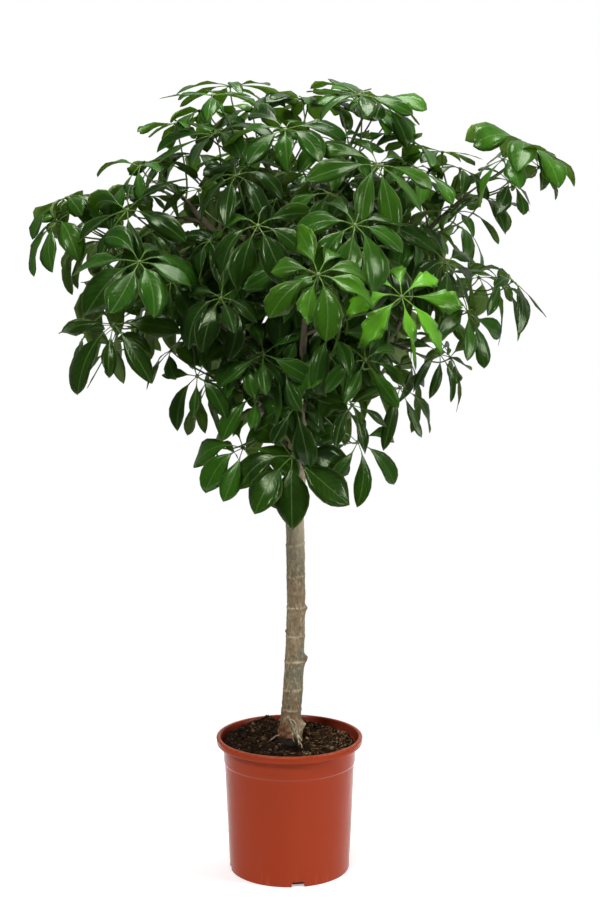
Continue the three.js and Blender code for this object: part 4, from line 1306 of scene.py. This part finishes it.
@dataclass
class Wood:
    """The trunk with its ring scars, knots and root flare, and the limbs and twigs of the crown."""

    line_mm: tuple[tuple[float, float, float, float], ...] = (
        (0, 0, 142, 15), (0, 0, 186, 19), (1, 0, 212, 20), (1, 0, 226, 19), (2, 0, 242, 17.8),
        (3, 0, 266, 16.3), (6, 0, 306, 16), (10, 2, 388, 15.2), (11, 2, 442, 14.9), (10, 0, 546, 14.8),
        (9, 0, 590, 14.6), (13, -2, 668, 14.2), (14, -2, 740, 13.6), (14, 0, 800, 13), (13, 2, 863, 12.2),
        (5, 3, 943, 10.6), (2, 2, 1006, 8.8), (0, 0, 1075, 6))
    rings: tuple[tuple[float, float, float], ...] = (
        (269, 1.0, 245), (304, 0.8, 280), (351, 0.9, 280), (393, 0.8, 230), (442, 1.0, 270), (495, 0.6, 330),
        (546, 1.0, 265), (606, 0.6, 300), (655, 0.9, 250), (712, 0.7, 280), (760, 0.8, 240), (820, 0.8, 300),
        (880, 0.8, 250), (930, 0.8, 290), (985, 0.8, 260), (1030, 0.8, 280))
    knots_mm: tuple[tuple[float, float, float, float], ...] = (
        (359, 0, 6.8, 8), (441, 0, 4.5, 5), (402, 184, 3, 3.5), (700, -100, 9, 6))
    scraps_mm: tuple[tuple[tuple[tuple[float, float, float], ...], float], ...] = (
        (((11, -15, 236), (14, -20, 227), (16, -26, 216)), 3.2),
        (((12, -14, 232), (17, -18, 227), (21, -21, 221)), 2.2),
        (((5, -17, 232), (5, -21, 227), (8, -25, 221)), 1.8),
        (((-2, -17, 258), (8, -19, 254), (13, -19, 243), (15, -18, 234)), 1.2))
    stub_mm: tuple[tuple[float, float, float], ...] = ((16, -4, 800), (31, -32, 813), (44, -58, 824))
    limb_ends_mm: tuple[tuple[float, float, float], ...] = (
        (-185, 25, 985), (-140, -75, 1080), (-105, -100, 915), (-70, -45, 800), (8, -95, 800),
        (80, -45, 805), (165, -40, 895), (180, 15, 1015), (25, -200, 925), (55, -140, 1055),
        (-20, 10, 1130), (70, 0, 1120), (-60, -140, 1030), (-150, 130, 900), (-85, 170, 1035),
        (60, 185, 985), (155, 125, 925), (45, 110, 800), (-65, 105, 790), (130, 80, 1085))
    limb_radii_mm: tuple[float, ...] = (7.4, 6.2, 4.4, 2.7)
    twig_radii_mm: tuple[float, float] = (3.7, 2.7)
    limb_rise: float = 0.62
    limb_sag: float = 0.09
    limb_starts_mm: tuple[float, float] = (650, 1040)
    start_below_mm: float = 25
    twig_spacing: float = 0.24
    twigs_a_limb: int = 6
    ring_gap: float = 2.2 * MM
    sides: int = 72

    def centre(self, heights: np.ndarray) -> np.ndarray:
        """The trunk's middle at heights in mm, in mm."""
        line = np.array(self.line_mm)
        return np.stack([np.interp(heights, line[:, 2], line[:, i]) for i in (0, 1)] + [heights], -1)

    def relief(self, turn: np.ndarray, run: np.ndarray) -> np.ndarray:
        """What the trunk's surface adds to its radius.

        A lobed root flare, a ridge at each scar, a mound at each knot, and bark in upright folds.

        Args:
            turn: The angle round the trunk.
            run: The way along it from its foot.

        Returns:
            Metres to add, for each pair of the two.
        """
        height = self.line_mm[0][2] + run / MM
        flare = eased(height, 150, 185) * (1 - eased(height, 205, 250))
        lift = 1.6 * flare * np.cos(5 * turn + 0.6) + self.fibrous(turn, height) * self.rusty(turn, height)
        lift = lift + 2.6 * self.peeling(turn, height) + 7.5 * self.beak(turn, height)
        for level, strength, plan in self.rings:
            off = self.ring_distance(turn, height, level, plan)
            ridge = 0.9 * np.exp(-((off / 3.0) ** 2)) - 0.35 * np.exp(-(((off - 5) / 2.2) ** 2))
            lift = lift + strength * ridge
        for knot in self.knots_mm:
            lift = lift + knot[2] * np.exp(-1.2 * self.knot_distance(turn, height, knot) ** 1.5)
        place = np.stack(np.broadcast_arrays(np.cos(turn) * 16, np.sin(turn) * 16, height * 0.22), -1)
        fine = np.stack(np.broadcast_arrays(np.cos(turn) * 16, np.sin(turn) * 16, height * 0.6), -1)
        return (lift + 0.35 * ripple(place, 9.0, 3) + 0.22 * ripple(fine, 4.0, 5)) * MM

    def trunk(self) -> Surface:
        """Builds the trunk, whose side direction is +X, so that its turns are plan directions."""
        bottom, top = self.line_mm[0][2], self.line_mm[-1][2]
        heights = np.linspace(bottom, top, int((top - bottom) * MM / self.ring_gap))
        line = np.array(self.line_mm)
        radii = np.interp(heights, line[:, 2], line[:, 3]) * MM
        surface = tube(self.centre(heights) * MM, radii, self.sides, self.relief)
        turn, height = surface.mark[:, 0] * FULL_TURN, bottom + surface.mark[:, 1] / MM
        rings = [strength * np.exp(-(self.ring_distance(turn, height, level, plan) / 1.3) ** 2)
                 * (0.55 + 0.45 * np.cos(turn - math.radians(plan))) for level, strength, plan in self.rings]
        knots = [np.exp(-self.knot_distance(turn, height + 3, knot) ** 2) for knot in self.knots_mm]
        rusty = np.max([*knots, self.rusty(turn, height)], axis=0)
        surface.mark = np.stack([np.max(rings, axis=0), rusty, self.peeling(turn, height)], -1)
        return surface

    @staticmethod
    def turned(turn: np.ndarray, plan: float) -> np.ndarray:
        """How far a turn is from a plan direction in degrees, in radians between -pi and pi."""
        return (turn - math.radians(plan) + math.pi) % FULL_TURN - math.pi

    def rusty(self, turn: np.ndarray, height: np.ndarray) -> np.ndarray:
        """The mass of rusty fibre at the trunk's foot, on its front left: 1 within an arch, 0 outside."""
        arch = 253 - 18 * (self.turned(turn, 236) / 0.70) ** 2 + 1.5 * np.sin(9 * turn)
        return (1 - eased(height, arch - 2.5, arch + 1.5)) * eased(height, 221, 226)

    def peeling(self, turn: np.ndarray, height: np.ndarray) -> np.ndarray:
        """Edges of pale bark that peel round the fibre: bands that run down to the right of it."""
        across = self.turned(turn, 245)
        edge = 259 - 20 * (np.abs(across) / 0.8) ** 1.8 + 1.2 * np.sin(7 * turn + 1)
        band = np.exp(-(((height - edge) / 2.4) ** 2)) * eased(across, -0.7, 0.3)
        flap = np.exp(-(((height - 248 + 9 * across) / 6.0) ** 2) - (self.turned(turn, 315) / 0.40) ** 2)
        near = 1 - eased(np.abs(across), 1.3, 1.7)
        return np.clip((band + 0.8 * flap) * near + self.beak(turn, height), 0, 1)

    def beak(self, turn: np.ndarray, height: np.ndarray) -> np.ndarray:
        """A pointed flap of bark that stands off the foot's right side: steep above, drawn out below."""
        rise = height - 248
        away = np.hypot(self.turned(turn, 342) / 0.42, np.where(rise > 0, rise / 3.5, rise / 13.0))
        return np.exp(-1.3 * away**1.3)

    @staticmethod
    def ring_distance(turn: np.ndarray, height: np.ndarray, level: float, plan: float) -> np.ndarray:
        """How far a place on the trunk is over a ring, which is tilted towards its plan direction."""
        return height - level - 1.5 * np.cos(turn - math.radians(plan) - 1.2)

    @staticmethod
    def knot_distance(turn: np.ndarray, height: np.ndarray,
                      knot: tuple[float, float, float, float]) -> np.ndarray:
        """How far a place on the trunk is from a knot's tip, in its radii: steep above, drawn out below."""
        level, plan, _, radius = knot
        rise = height - level
        return np.hypot(Wood.turned(turn, plan) * 15, np.where(rise > 0, rise * 2.2, rise * 0.62)) / radius

    def limb_line(self, end: np.ndarray) -> np.ndarray:
        """Draws a limb from the trunk to its end by three points, in mm.

        Args:
            end: Where it ends.

        Returns:
            Its start on the trunk, its sagging middle and its end.
        """
        away = math.hypot(end[0], end[1])
        level = end[2] - self.limb_rise * away - self.start_below_mm
        start = self.centre(np.clip(level, *self.limb_starts_mm))
        return np.array([start, (start + end) / 2 - UP * self.limb_sag * away, end])

    def twig_line(self, shoot: Shoot) -> np.ndarray:
        """Finds the wood that carries a shoot: the starting point of its twig lies straight behind its foot.

        Args:
            shoot: The shoot.

        Returns:
            The twig's start and end, or the four points of the limb where it ends in the shoot.
        """
        tries = []
        for end in self.limb_ends_mm:
            line = self.limb_line(np.array(end, dtype=float)) * MM
            for k in range(self.twigs_a_limb):
                start = line[2] + (line[1] - line[2]) * self.twig_spacing * k
                back = shoot.foot - start
                miss = np.linalg.norm(np.cross(back, shoot.way)) if back.dot(shoot.way) > 0 else math.inf
                tries.append((miss, np.vstack([line if k == 0 else start, shoot.foot])))
        miss, best = min(tries, key=lambda one: one[0])
        if miss > ALLOWED_MISS:
            LOG.warning("%s misses its limb by %.2f mm", shoot.node, miss / MM)
        return best

    def twig_start(self, shoot: Shoot) -> np.ndarray:
        """The point that a shoot's twig starts from."""
        return self.twig_line(shoot)[-2]

    def branches(self, shoots: list[Shoot]) -> list[Surface]:
        """Builds the limbs and twigs that carry the shoots, each with the bud at its tip."""
        made = []
        for shoot in shoots:
            line = self.twig_line(shoot)
            line[-1] += shoot.way * MM
            if len(line) == 2:
                path = flowing(np.vstack([line[0], line.mean(0) + UP * 2 * MM, line[1]]), 8)
                radii = np.linspace(*self.twig_radii_mm, len(path)) * MM
                made.append(tube(path, radii, 10, self.joints, (0.7, 0, 0)))
            else:
                path = flowing(line, 12)
                radii = np.interp(np.linspace(0, 3, len(path)), [0, 1, 2, 3], self.limb_radii_mm) * MM
                made.append(tube(path, radii, 12, self.joints, (0.25, 0, 0)))
            made.append(self.bud(shoot.foot, shoot.way))
        for one in made:
            one.mark = np.zeros_like(one.mark)
        return made

    @staticmethod
    def joints(turn: np.ndarray, run: np.ndarray) -> np.ndarray:
        """Rings where old leaves sat, every 22 mm, and a slight unevenness."""
        ring = np.exp(-((((run / MM) % 22) - 11) / 1.6) ** 2)
        return (0.5 * ring + 0.25 * np.sin(3 * turn + run * 90)) * MM

    @staticmethod
    def bud(foot: np.ndarray, way: np.ndarray) -> Surface:
        """The sheath and bud at a twig's tip: a spindle."""
        share = np.linspace(0, 1, 7)
        path = foot + way * (share[:, None] * 15 - 5) * MM
        radii = (3.6 * np.sin(math.pi * (0.12 + 0.8 * share)) ** 0.8) * MM
        return tube(path, radii, 8, kind=(1.0, 0, 0))

    def stub(self) -> Surface:
        """The stub of a cut branch, with a flat pale end."""
        path = flowing(np.array(self.stub_mm), 6) * MM
        path = np.vstack([path, path[-1:] + (path[-1:] - path[-2:-1]) * 0.02])
        radii = np.append(np.linspace(8.6, 6.8, len(path) - 1), 6.2) * MM
        surface = tube(path, radii, 16, self.joints)
        surface.mark = np.zeros_like(surface.mark)
        surface.kind = surface.kind.copy()
        surface.kind[-16:, 2] = 1.0
        return surface

    def scraps(self) -> list[Surface]:
        """Builds the tips of pale bark that stand off the trunk's foot: thin tapered tubes."""
        made = []
        for points, radius in self.scraps_mm:
            path = flowing(np.array(points, dtype=float), 5)
            taper = np.linspace(1.0, 0.10, len(path)) ** 0.8
            strip = tube(path * MM, radius * taper * MM, 6)
            strip.mark = np.broadcast_to([0.0, 0.0, 1.0], strip.mark.shape)
            made.append(strip)
        return made

    @staticmethod
    def fibrous(turn: np.ndarray, height: np.ndarray) -> np.ndarray:
        """A bulge with ridges like strands that hang down it, in mm."""
        strands = np.sin(13 * turn + 0.16 * height + 1.5 * np.sin(3 * turn)) + np.sin(7 * turn - 0.5 * height)
        return 3.4 + 0.9 * strands + 0.8 * np.sin(0.6 * height + 2 * turn)

    def build(self, bark: bpy.types.Material, shoots: list[Shoot]) -> None:
        """Builds the whole woody part as one piece."""
        surface = Surface.joined([self.trunk(), self.stub(), *self.scraps(), *self.branches(shoots)])
        piece("woody_trunk", surface.mesh("woody_trunk"), [bark], ["trunk"])


@dataclass
class Pot:
    """The nursery pot: a turned shell with a thick lip, a shoulder ledge, foot notches and drain holes."""

    height_mm: float = 225
    rim_radius_mm: float = 120.3
    foot_radius_mm: float = 99
    body_top_radius_mm: float = 107.2
    shoulder_mm: float = 182
    step_mm: float = 1.3
    lip_mm: float = 12
    wall_mm: float = 2
    floor_mm: float = 3
    notch_mm: tuple[float, float, float] = (15, 22, 9)
    notches: int = 4
    first_notch: float = -81.6
    drain_radius_mm: float = 7
    drain_circle_mm: float = 55
    sides: int = 192

    def profile(self) -> list[tuple[float, float, float]]:
        """The turned outline, from the underside's middle round to the floor's: radius, height, rounding."""
        neck = self.body_top_radius_mm + self.step_mm + 1
        under_lip = self.height_mm - self.lip_mm
        inner = self.foot_radius_mm - self.wall_mm
        return [
            (0, 0, 0), (self.foot_radius_mm - 14, 0, 1), (self.foot_radius_mm - 12, 1.2, 1),
            (self.foot_radius_mm - 9, 1.2, 1), (self.foot_radius_mm - 7.5, 0, 1),
            (self.foot_radius_mm, 0, 2.4),
            (self.body_top_radius_mm, self.shoulder_mm - 0.8, 0.5),
            (self.body_top_radius_mm + self.step_mm, self.shoulder_mm + 0.7, 0.6),
            (neck, under_lip - 0.2, 1.6), (self.rim_radius_mm, under_lip + 0.4, 2.2),
            (self.rim_radius_mm, self.height_mm, 2.8), (self.rim_radius_mm - 6.4, self.height_mm, 2.2),
            (neck + 1.0, under_lip + 3, 3), (neck - self.wall_mm, under_lip - 4, 3),
            (inner, self.floor_mm, 4), (0, self.floor_mm, 0)]

    def rounded(self) -> np.ndarray:
        """Rounds each corner of the outline by a quadratic Bezier arc."""
        outline = self.profile()
        t = np.linspace(0, 1, 6)[:, None]
        points = [np.array([[*outline[0][:2]]])]
        for before, corner, after in zip(outline[:-2], outline[1:-1], outline[2:]):
            middle = np.array(corner[:2])
            ends = [middle + unit(np.array(one[:2]) - middle) * corner[2] for one in (before, after)]
            points.append((1 - t)**2 * ends[0] + 2 * (1 - t) * t * middle + t**2 * ends[1])
        points.append(np.array([[*outline[-1][:2]]]))
        return np.vstack(points)

    def shell(self) -> Surface:
        """Turns the outline round +Z: (r cos turn, r sin turn, height)."""
        outline = self.rounded()
        radius, height = outline[1:-1, 0, None] * MM, outline[1:-1, 1, None] * MM
        turn = FULL_TURN * np.arange(self.sides) / self.sides
        rings = np.stack(np.broadcast_arrays(radius * np.cos(turn), radius * np.sin(turn), height), -1)
        count = rings.shape[0] * self.sides
        points = np.vstack([rings.reshape(-1, 3), [[0, 0, 0], [0, 0, self.floor_mm * MM]]])
        return Surface.of(points, ring_quads(len(rings), self.sides), cap_triangles(count, self.sides),
                          np.zeros_like(points))

    def cutters(self) -> Surface:
        """The blocks that cut the foot notches and the rods that drill the drain holes."""
        depth, width, height = self.notch_mm
        parts = []
        for i in range(self.notches):
            turn = math.radians(self.first_notch + 360 * i / self.notches)
            out = np.array([math.cos(turn), math.sin(turn), 0])
            aside = np.array([-math.sin(turn), math.cos(turn), 0])
            arch = np.array([(-0.5, -1), (0.5, -1), (0.47, 0.7), (0.40, 1), (-0.40, 1), (-0.47, 0.7)])
            ring = aside * arch[:, :1] * width + UP * arch[:, 1:] * height
            starts = out * (self.foot_radius_mm - depth + 2)
            points = np.vstack([starts + ring, starts + out * depth * 1.3 + ring]) * MM
            lids = np.array([[0, k + 1, k] for k in range(1, 5)] + [[6, k + 6, k + 7] for k in range(1, 5)])
            parts.append(Surface.of(points, ring_quads(2, 6), lids, np.zeros_like(points)))
            middle = math.radians(self.first_notch + 360 * (i + 0.5) / self.notches)
            centre = np.array([math.cos(middle), math.sin(middle), 0]) * self.drain_circle_mm
            rod = np.array([centre - UP * 5, centre + UP * 8]) * MM
            parts.append(tube(rod, np.full(2, self.drain_radius_mm * MM), 32))
        return Surface.joined(parts)

    def build(self, plastic: bpy.types.Material) -> None:
        """Turns the shell, cuts the notches and holes, and sharpens the edges that the cuts leave."""
        pot = piece("nursery_pot", self.shell().mesh("nursery_pot"), [plastic], ["pot"])
        cutter = bpy.data.objects.new("cutter", self.cutters().mesh("cutter"))
        bpy.context.scene.collection.objects.link(cutter)
        cut = pot.modifiers.new("notches", "BOOLEAN")
        cut.operation, cut.solver, cut.object = "DIFFERENCE", "EXACT", cutter
        graph = bpy.context.evaluated_depsgraph_get()
        whole = bpy.data.meshes.new_from_object(pot.evaluated_get(graph), depsgraph=graph)
        pot.modifiers.clear()
        pot.data = whole
        bpy.data.objects.remove(cutter)
        whole.shade_smooth()
        whole.set_sharp_from_angle(angle=math.radians(32))


@dataclass
class Soil:
    """Potting soil with an uneven top, crumbs of bark, thin fibres and a few pale roots."""

    pot: Pot
    below_rim_mm: float = 8.5
    rings: int = 46
    sides: int = 150
    crumbs: int = 2500
    fibres: int = 240
    trunk_room_mm: float = 20
    strewn_to_mm: float = 103.0
    crumb_mm: tuple[float, float] = (1.0, 3.4)
    lump_share: float = 0.09
    lump_growth: float = 2.3
    fibre_halves_mm: tuple[float, float] = (2, 8)
    fibre_radii_mm: tuple[float, float] = (0.15, 0.4)
    fibre_steps: int = 6
    roots_mm: tuple[tuple[tuple[tuple[float, float, float], ...], float], ...] = (
        (((-14, -14, 13), (-21, -12, 11), (-28, -7, 5), (-38, 0, -5)), 1.2),
        (((16, -16, 4), (20, -26, -1), (21, -33, -7)), 1.4),
        (((-24, -10, 8), (-29, -10, 4), (-33, -8, 1), (-38, -8, -5)), 0.7))
    seed: int = 5

    def top_height(self, x: np.ndarray, y: np.ndarray) -> np.ndarray:
        """The soil's height in mm: clods, low in front of the trunk, with a peaked heap at the back left."""
        place = np.stack([x, y, np.zeros_like(x)], -1)
        away = np.hypot(x, y)
        heap = 9.0 * np.exp(-(((x + 40) / 26) ** 2 + ((y - 62) / 30) ** 2))
        heap = heap + 8.0 * np.exp(-(((x + 35) / 15) ** 2 + ((y - 82) / 12) ** 2))
        hollow = -7.0 * np.exp(-(((x - 4) / 30) ** 2 + ((y + 40) / 24) ** 2))
        clods = 1.3 * ripple(place, 26, 1) + 1.1 * ripple(place, 11, 2) + 0.8 * ripple(place, 5, 4)
        banked = 2.5 * eased(-x + 0.8 * y, 0, 110) - 2.5 * eased(x - 0.3 * y, 20, 100)
        return self.level() + heap + hollow + banked + clods - 0.5 * eased(away, 90, 105)

    def level(self) -> float:
        """The height in mm that the soil is filled to, apart from its unevenness."""
        return self.pot.height_mm - self.below_rim_mm

    def body(self) -> Surface:
        """Builds the soil: a disc in polar rings (r cos turn, r sin turn, height), its wall and its floor."""
        bottom = self.pot.floor_mm + 0.5
        inside = self.pot.foot_radius_mm - self.pot.wall_mm
        edge = self.pot.body_top_radius_mm + self.pot.step_mm - self.pot.wall_mm + 0.4
        turn = FULL_TURN * np.arange(self.sides) / self.sides
        wall = np.array([(inside - 4.5, bottom), (inside - 0.8, bottom + 4), (edge - 3, 182), (edge, 203)])
        side, other = np.cos(turn), np.sin(turn)
        low = np.stack(np.broadcast_arrays(wall[:, :1] * side, wall[:, :1] * other, wall[:, 1:]), -1)
        radius = (edge * np.linspace(0.995, 0.02, self.rings))[:, None]
        x, y = radius * side, radius * other
        rings = np.vstack([low, np.stack([x, y, self.top_height(x, y)], -1)])
        count = rings.shape[0] * self.sides
        middle = float(self.top_height(np.zeros(1), np.zeros(1))[0])
        points = np.vstack([rings.reshape(-1, 3), [[0, 0, bottom], [0, 0, middle]]]) * MM
        return Surface.of(points, ring_quads(len(rings), self.sides), cap_triangles(count, self.sides),
                          np.zeros_like(points))

    def scattered(self, draw: np.random.Generator, count: int) -> np.ndarray:
        """Draws places on the soil, in mm, none of them inside the trunk."""
        radius = np.sqrt(draw.uniform(self.trunk_room_mm**2, self.strewn_to_mm**2, count))
        turn = draw.uniform(0, FULL_TURN, count)
        x, y = radius * np.cos(turn), radius * np.sin(turn)
        return np.stack([x, y, self.top_height(x, y)], -1)

    def crumb(self, draw: np.random.Generator, place: np.ndarray) -> Surface:
        """Builds a crumb of bark: an angular sliver of a few faces."""
        size = draw.uniform(*self.crumb_mm) * (self.lump_growth if draw.random() < self.lump_share else 1.0)
        heading = unit(draw.normal(size=3) * [1, 1, 0.5])
        share = np.array([0.15, 0.38, 0.66, 0.88])
        path = place + heading * size * (share[:, None] * 2 - 1) + UP * draw.uniform(-0.6, 1.2)
        radii = size * draw.uniform(0.22, 0.60) * np.sin(math.pi * share) ** 0.5 * draw.uniform(0.7, 1.2, 4)
        return tube(path * MM, radii * MM, 4, kind=(draw.uniform(0, 1) ** 3, 0, draw.uniform(0, 1)))

    def fibre(self, draw: np.random.Generator, place: np.ndarray) -> Surface:
        """Builds a thin curved fibre."""
        heading = unit(draw.normal(size=3) * [1, 1, 0.25])
        bow = unit(draw.normal(size=3)) * draw.uniform(1, 3)
        t = np.linspace(-1, 1, self.fibre_steps)[:, None]
        half = draw.uniform(*self.fibre_halves_mm)
        path = place + UP * 0.8 + heading * t * half + bow * 0.6 * (1 - t**2)
        radii = np.full(self.fibre_steps, draw.uniform(*self.fibre_radii_mm)) * MM
        return tube(path * MM, radii, 4, kind=(draw.uniform(0.3, 0.9), 0, 0.66))

    def root(self, points: tuple[tuple[float, float, float], ...], radius: float) -> Surface:
        """Builds a pale root that comes out of the soil and dips back, in mm over the soil's level."""
        path = flowing(np.array(points, dtype=float) + UP * self.level(), 6)
        return tube(path * MM, np.linspace(radius, radius * 0.5, len(path)) * MM, 8, kind=(0, 0.8, 0))

    def build(self, peat: bpy.types.Material) -> None:
        """Builds the soil and what lies on it."""
        draw = np.random.default_rng(self.seed)
        piece("soil_bed", self.body().mesh("soil_bed"), [peat], ["soil"])
        loose = [self.crumb(draw, place) for place in self.scattered(draw, self.crumbs)]
        loose += [self.fibre(draw, place) for place in self.scattered(draw, self.fibres)]
        loose += [self.root(points, radius) for points, radius in self.roots_mm]
        piece("soil_crumbs", Surface.joined(loose).mesh("soil_crumbs"), [peat], [])


@dataclass
class Studio:
    """The pale floor, the soft lights and the camera, all as in the photograph."""

    eye: tuple[float, float, float] = (0.0174, -3.0, 1.154)
    pitch: float = 8.59
    lens_mm: float = 75.24
    sensor_mm: float = 36.0
    sight: float = 200.0
    floor_half: float = 0.7
    sky_behind: float = 0.62
    sky_ahead: float = 0.12
    left_card: float = 0.55
    lamps_face: tuple[float, float, float] = (0.0, 0.0, 0.75)
    lamps: tuple[tuple[str, tuple[float, float, float], float, float], ...] = (
        ("key_lamp", (-1.35, -2.5, 3.0), 1.1, 105), ("side_lamp", (2.5, -0.9, 1.4), 0.9, 44),
        ("top_lamp", (0.3, 0.4, 3.4), 1.6, 104))

    def floor(self, paper: bpy.types.Material) -> None:
        """Lays the floor, which isn't part of the plant."""
        half = self.floor_half
        points = np.array([(-half, -half, 0), (half, -half, 0), (half, half, 0), (-half, half, 0)])
        no_triangles = np.empty((0, 3), dtype=int)
        sheet = Surface.of(points, np.array([[0, 1, 2, 3]]), no_triangles, np.zeros_like(points))
        floor = bpy.data.objects.new("studio_floor", sheet.mesh("studio_floor"))
        floor.data.materials.append(paper)
        bpy.context.scene.collection.objects.link(floor)

    def lamp(self, name: str, place: tuple[float, float, float], size: float, watts: float) -> None:
        """Hangs a square soft lamp that faces the crown."""
        data = bpy.data.lights.new(name, "AREA")
        data.size, data.energy = size, watts
        lamp = bpy.data.objects.new(name, data)
        lamp.location = place
        aim = np.array(self.lamps_face) - np.array(place)
        tilt = math.acos(-aim[2] / np.linalg.norm(aim))
        lamp.rotation_euler = (tilt, 0, math.atan2(aim[1], aim[0]) - math.pi / 2)
        bpy.context.scene.collection.objects.link(lamp)

    def world(self) -> None:
        """Lights the plant from a sky that is dimmer ahead and on the left. The camera sees it white."""
        world = bpy.data.worlds.new("studio_sky")
        world.use_nodes = True
        graph = Graph.within(world.node_tree)
        way = graph.node("ShaderNodeTexCoord", {}, {}, 0)
        x, y, _ = graph.parts(way)
        light = self.sky_ahead + y.eased(-0.3, 0.9) * (self.sky_behind - self.sky_ahead)
        light = light * (1 - (0.0 - x).eased(0.0, 0.5) * self.left_card)
        seen = graph.node("ShaderNodeLightPath", {}, {}, 0)
        strength = light + seen * (1.0 - light)
        sky = graph.node("ShaderNodeBackground", {}, {"Color": (1, 1, 1, 1), "Strength": strength})
        graph.node("ShaderNodeOutputWorld", {}, {"Surface": sky}, None)
        bpy.context.scene.world = world

    def camera(self) -> None:
        """Stands the camera where the photograph was taken from."""
        data = bpy.data.cameras.new("studio_camera")
        data.lens, data.sensor_width, data.clip_end = self.lens_mm, self.sensor_mm, self.sight
        camera = bpy.data.objects.new("studio_camera", data)
        camera.location = self.eye
        camera.rotation_euler = (math.radians(90 - self.pitch), 0, 0)
        bpy.context.scene.collection.objects.link(camera)
        bpy.context.scene.camera = camera

    def build(self, paper: bpy.types.Material) -> None:
        """Sets up the whole studio."""
        self.floor(paper)
        self.world()
        for name, place, size, watts in self.lamps:
            self.lamp(name, place, size, watts)
        self.camera()
        bpy.context.scene.view_settings.view_transform = "Standard"


def main() -> None:
    """Builds the plant and its studio."""
    logging.basicConfig(level=logging.INFO, format="%(name)s %(message)s")
    pot, crown, wood = Pot(), Crown(), Wood()
    crown.fill(wood)
    crown.build(LeafFinish().material(), StalkFinish().material())
    wood.build(BarkFinish().material(), crown.shoots)
    pot.build(PotFinish().material())
    Soil(pot).build(SoilFinish().material())
    Studio().build(PaperFinish().material())


if __name__ == "__main__":
    main()
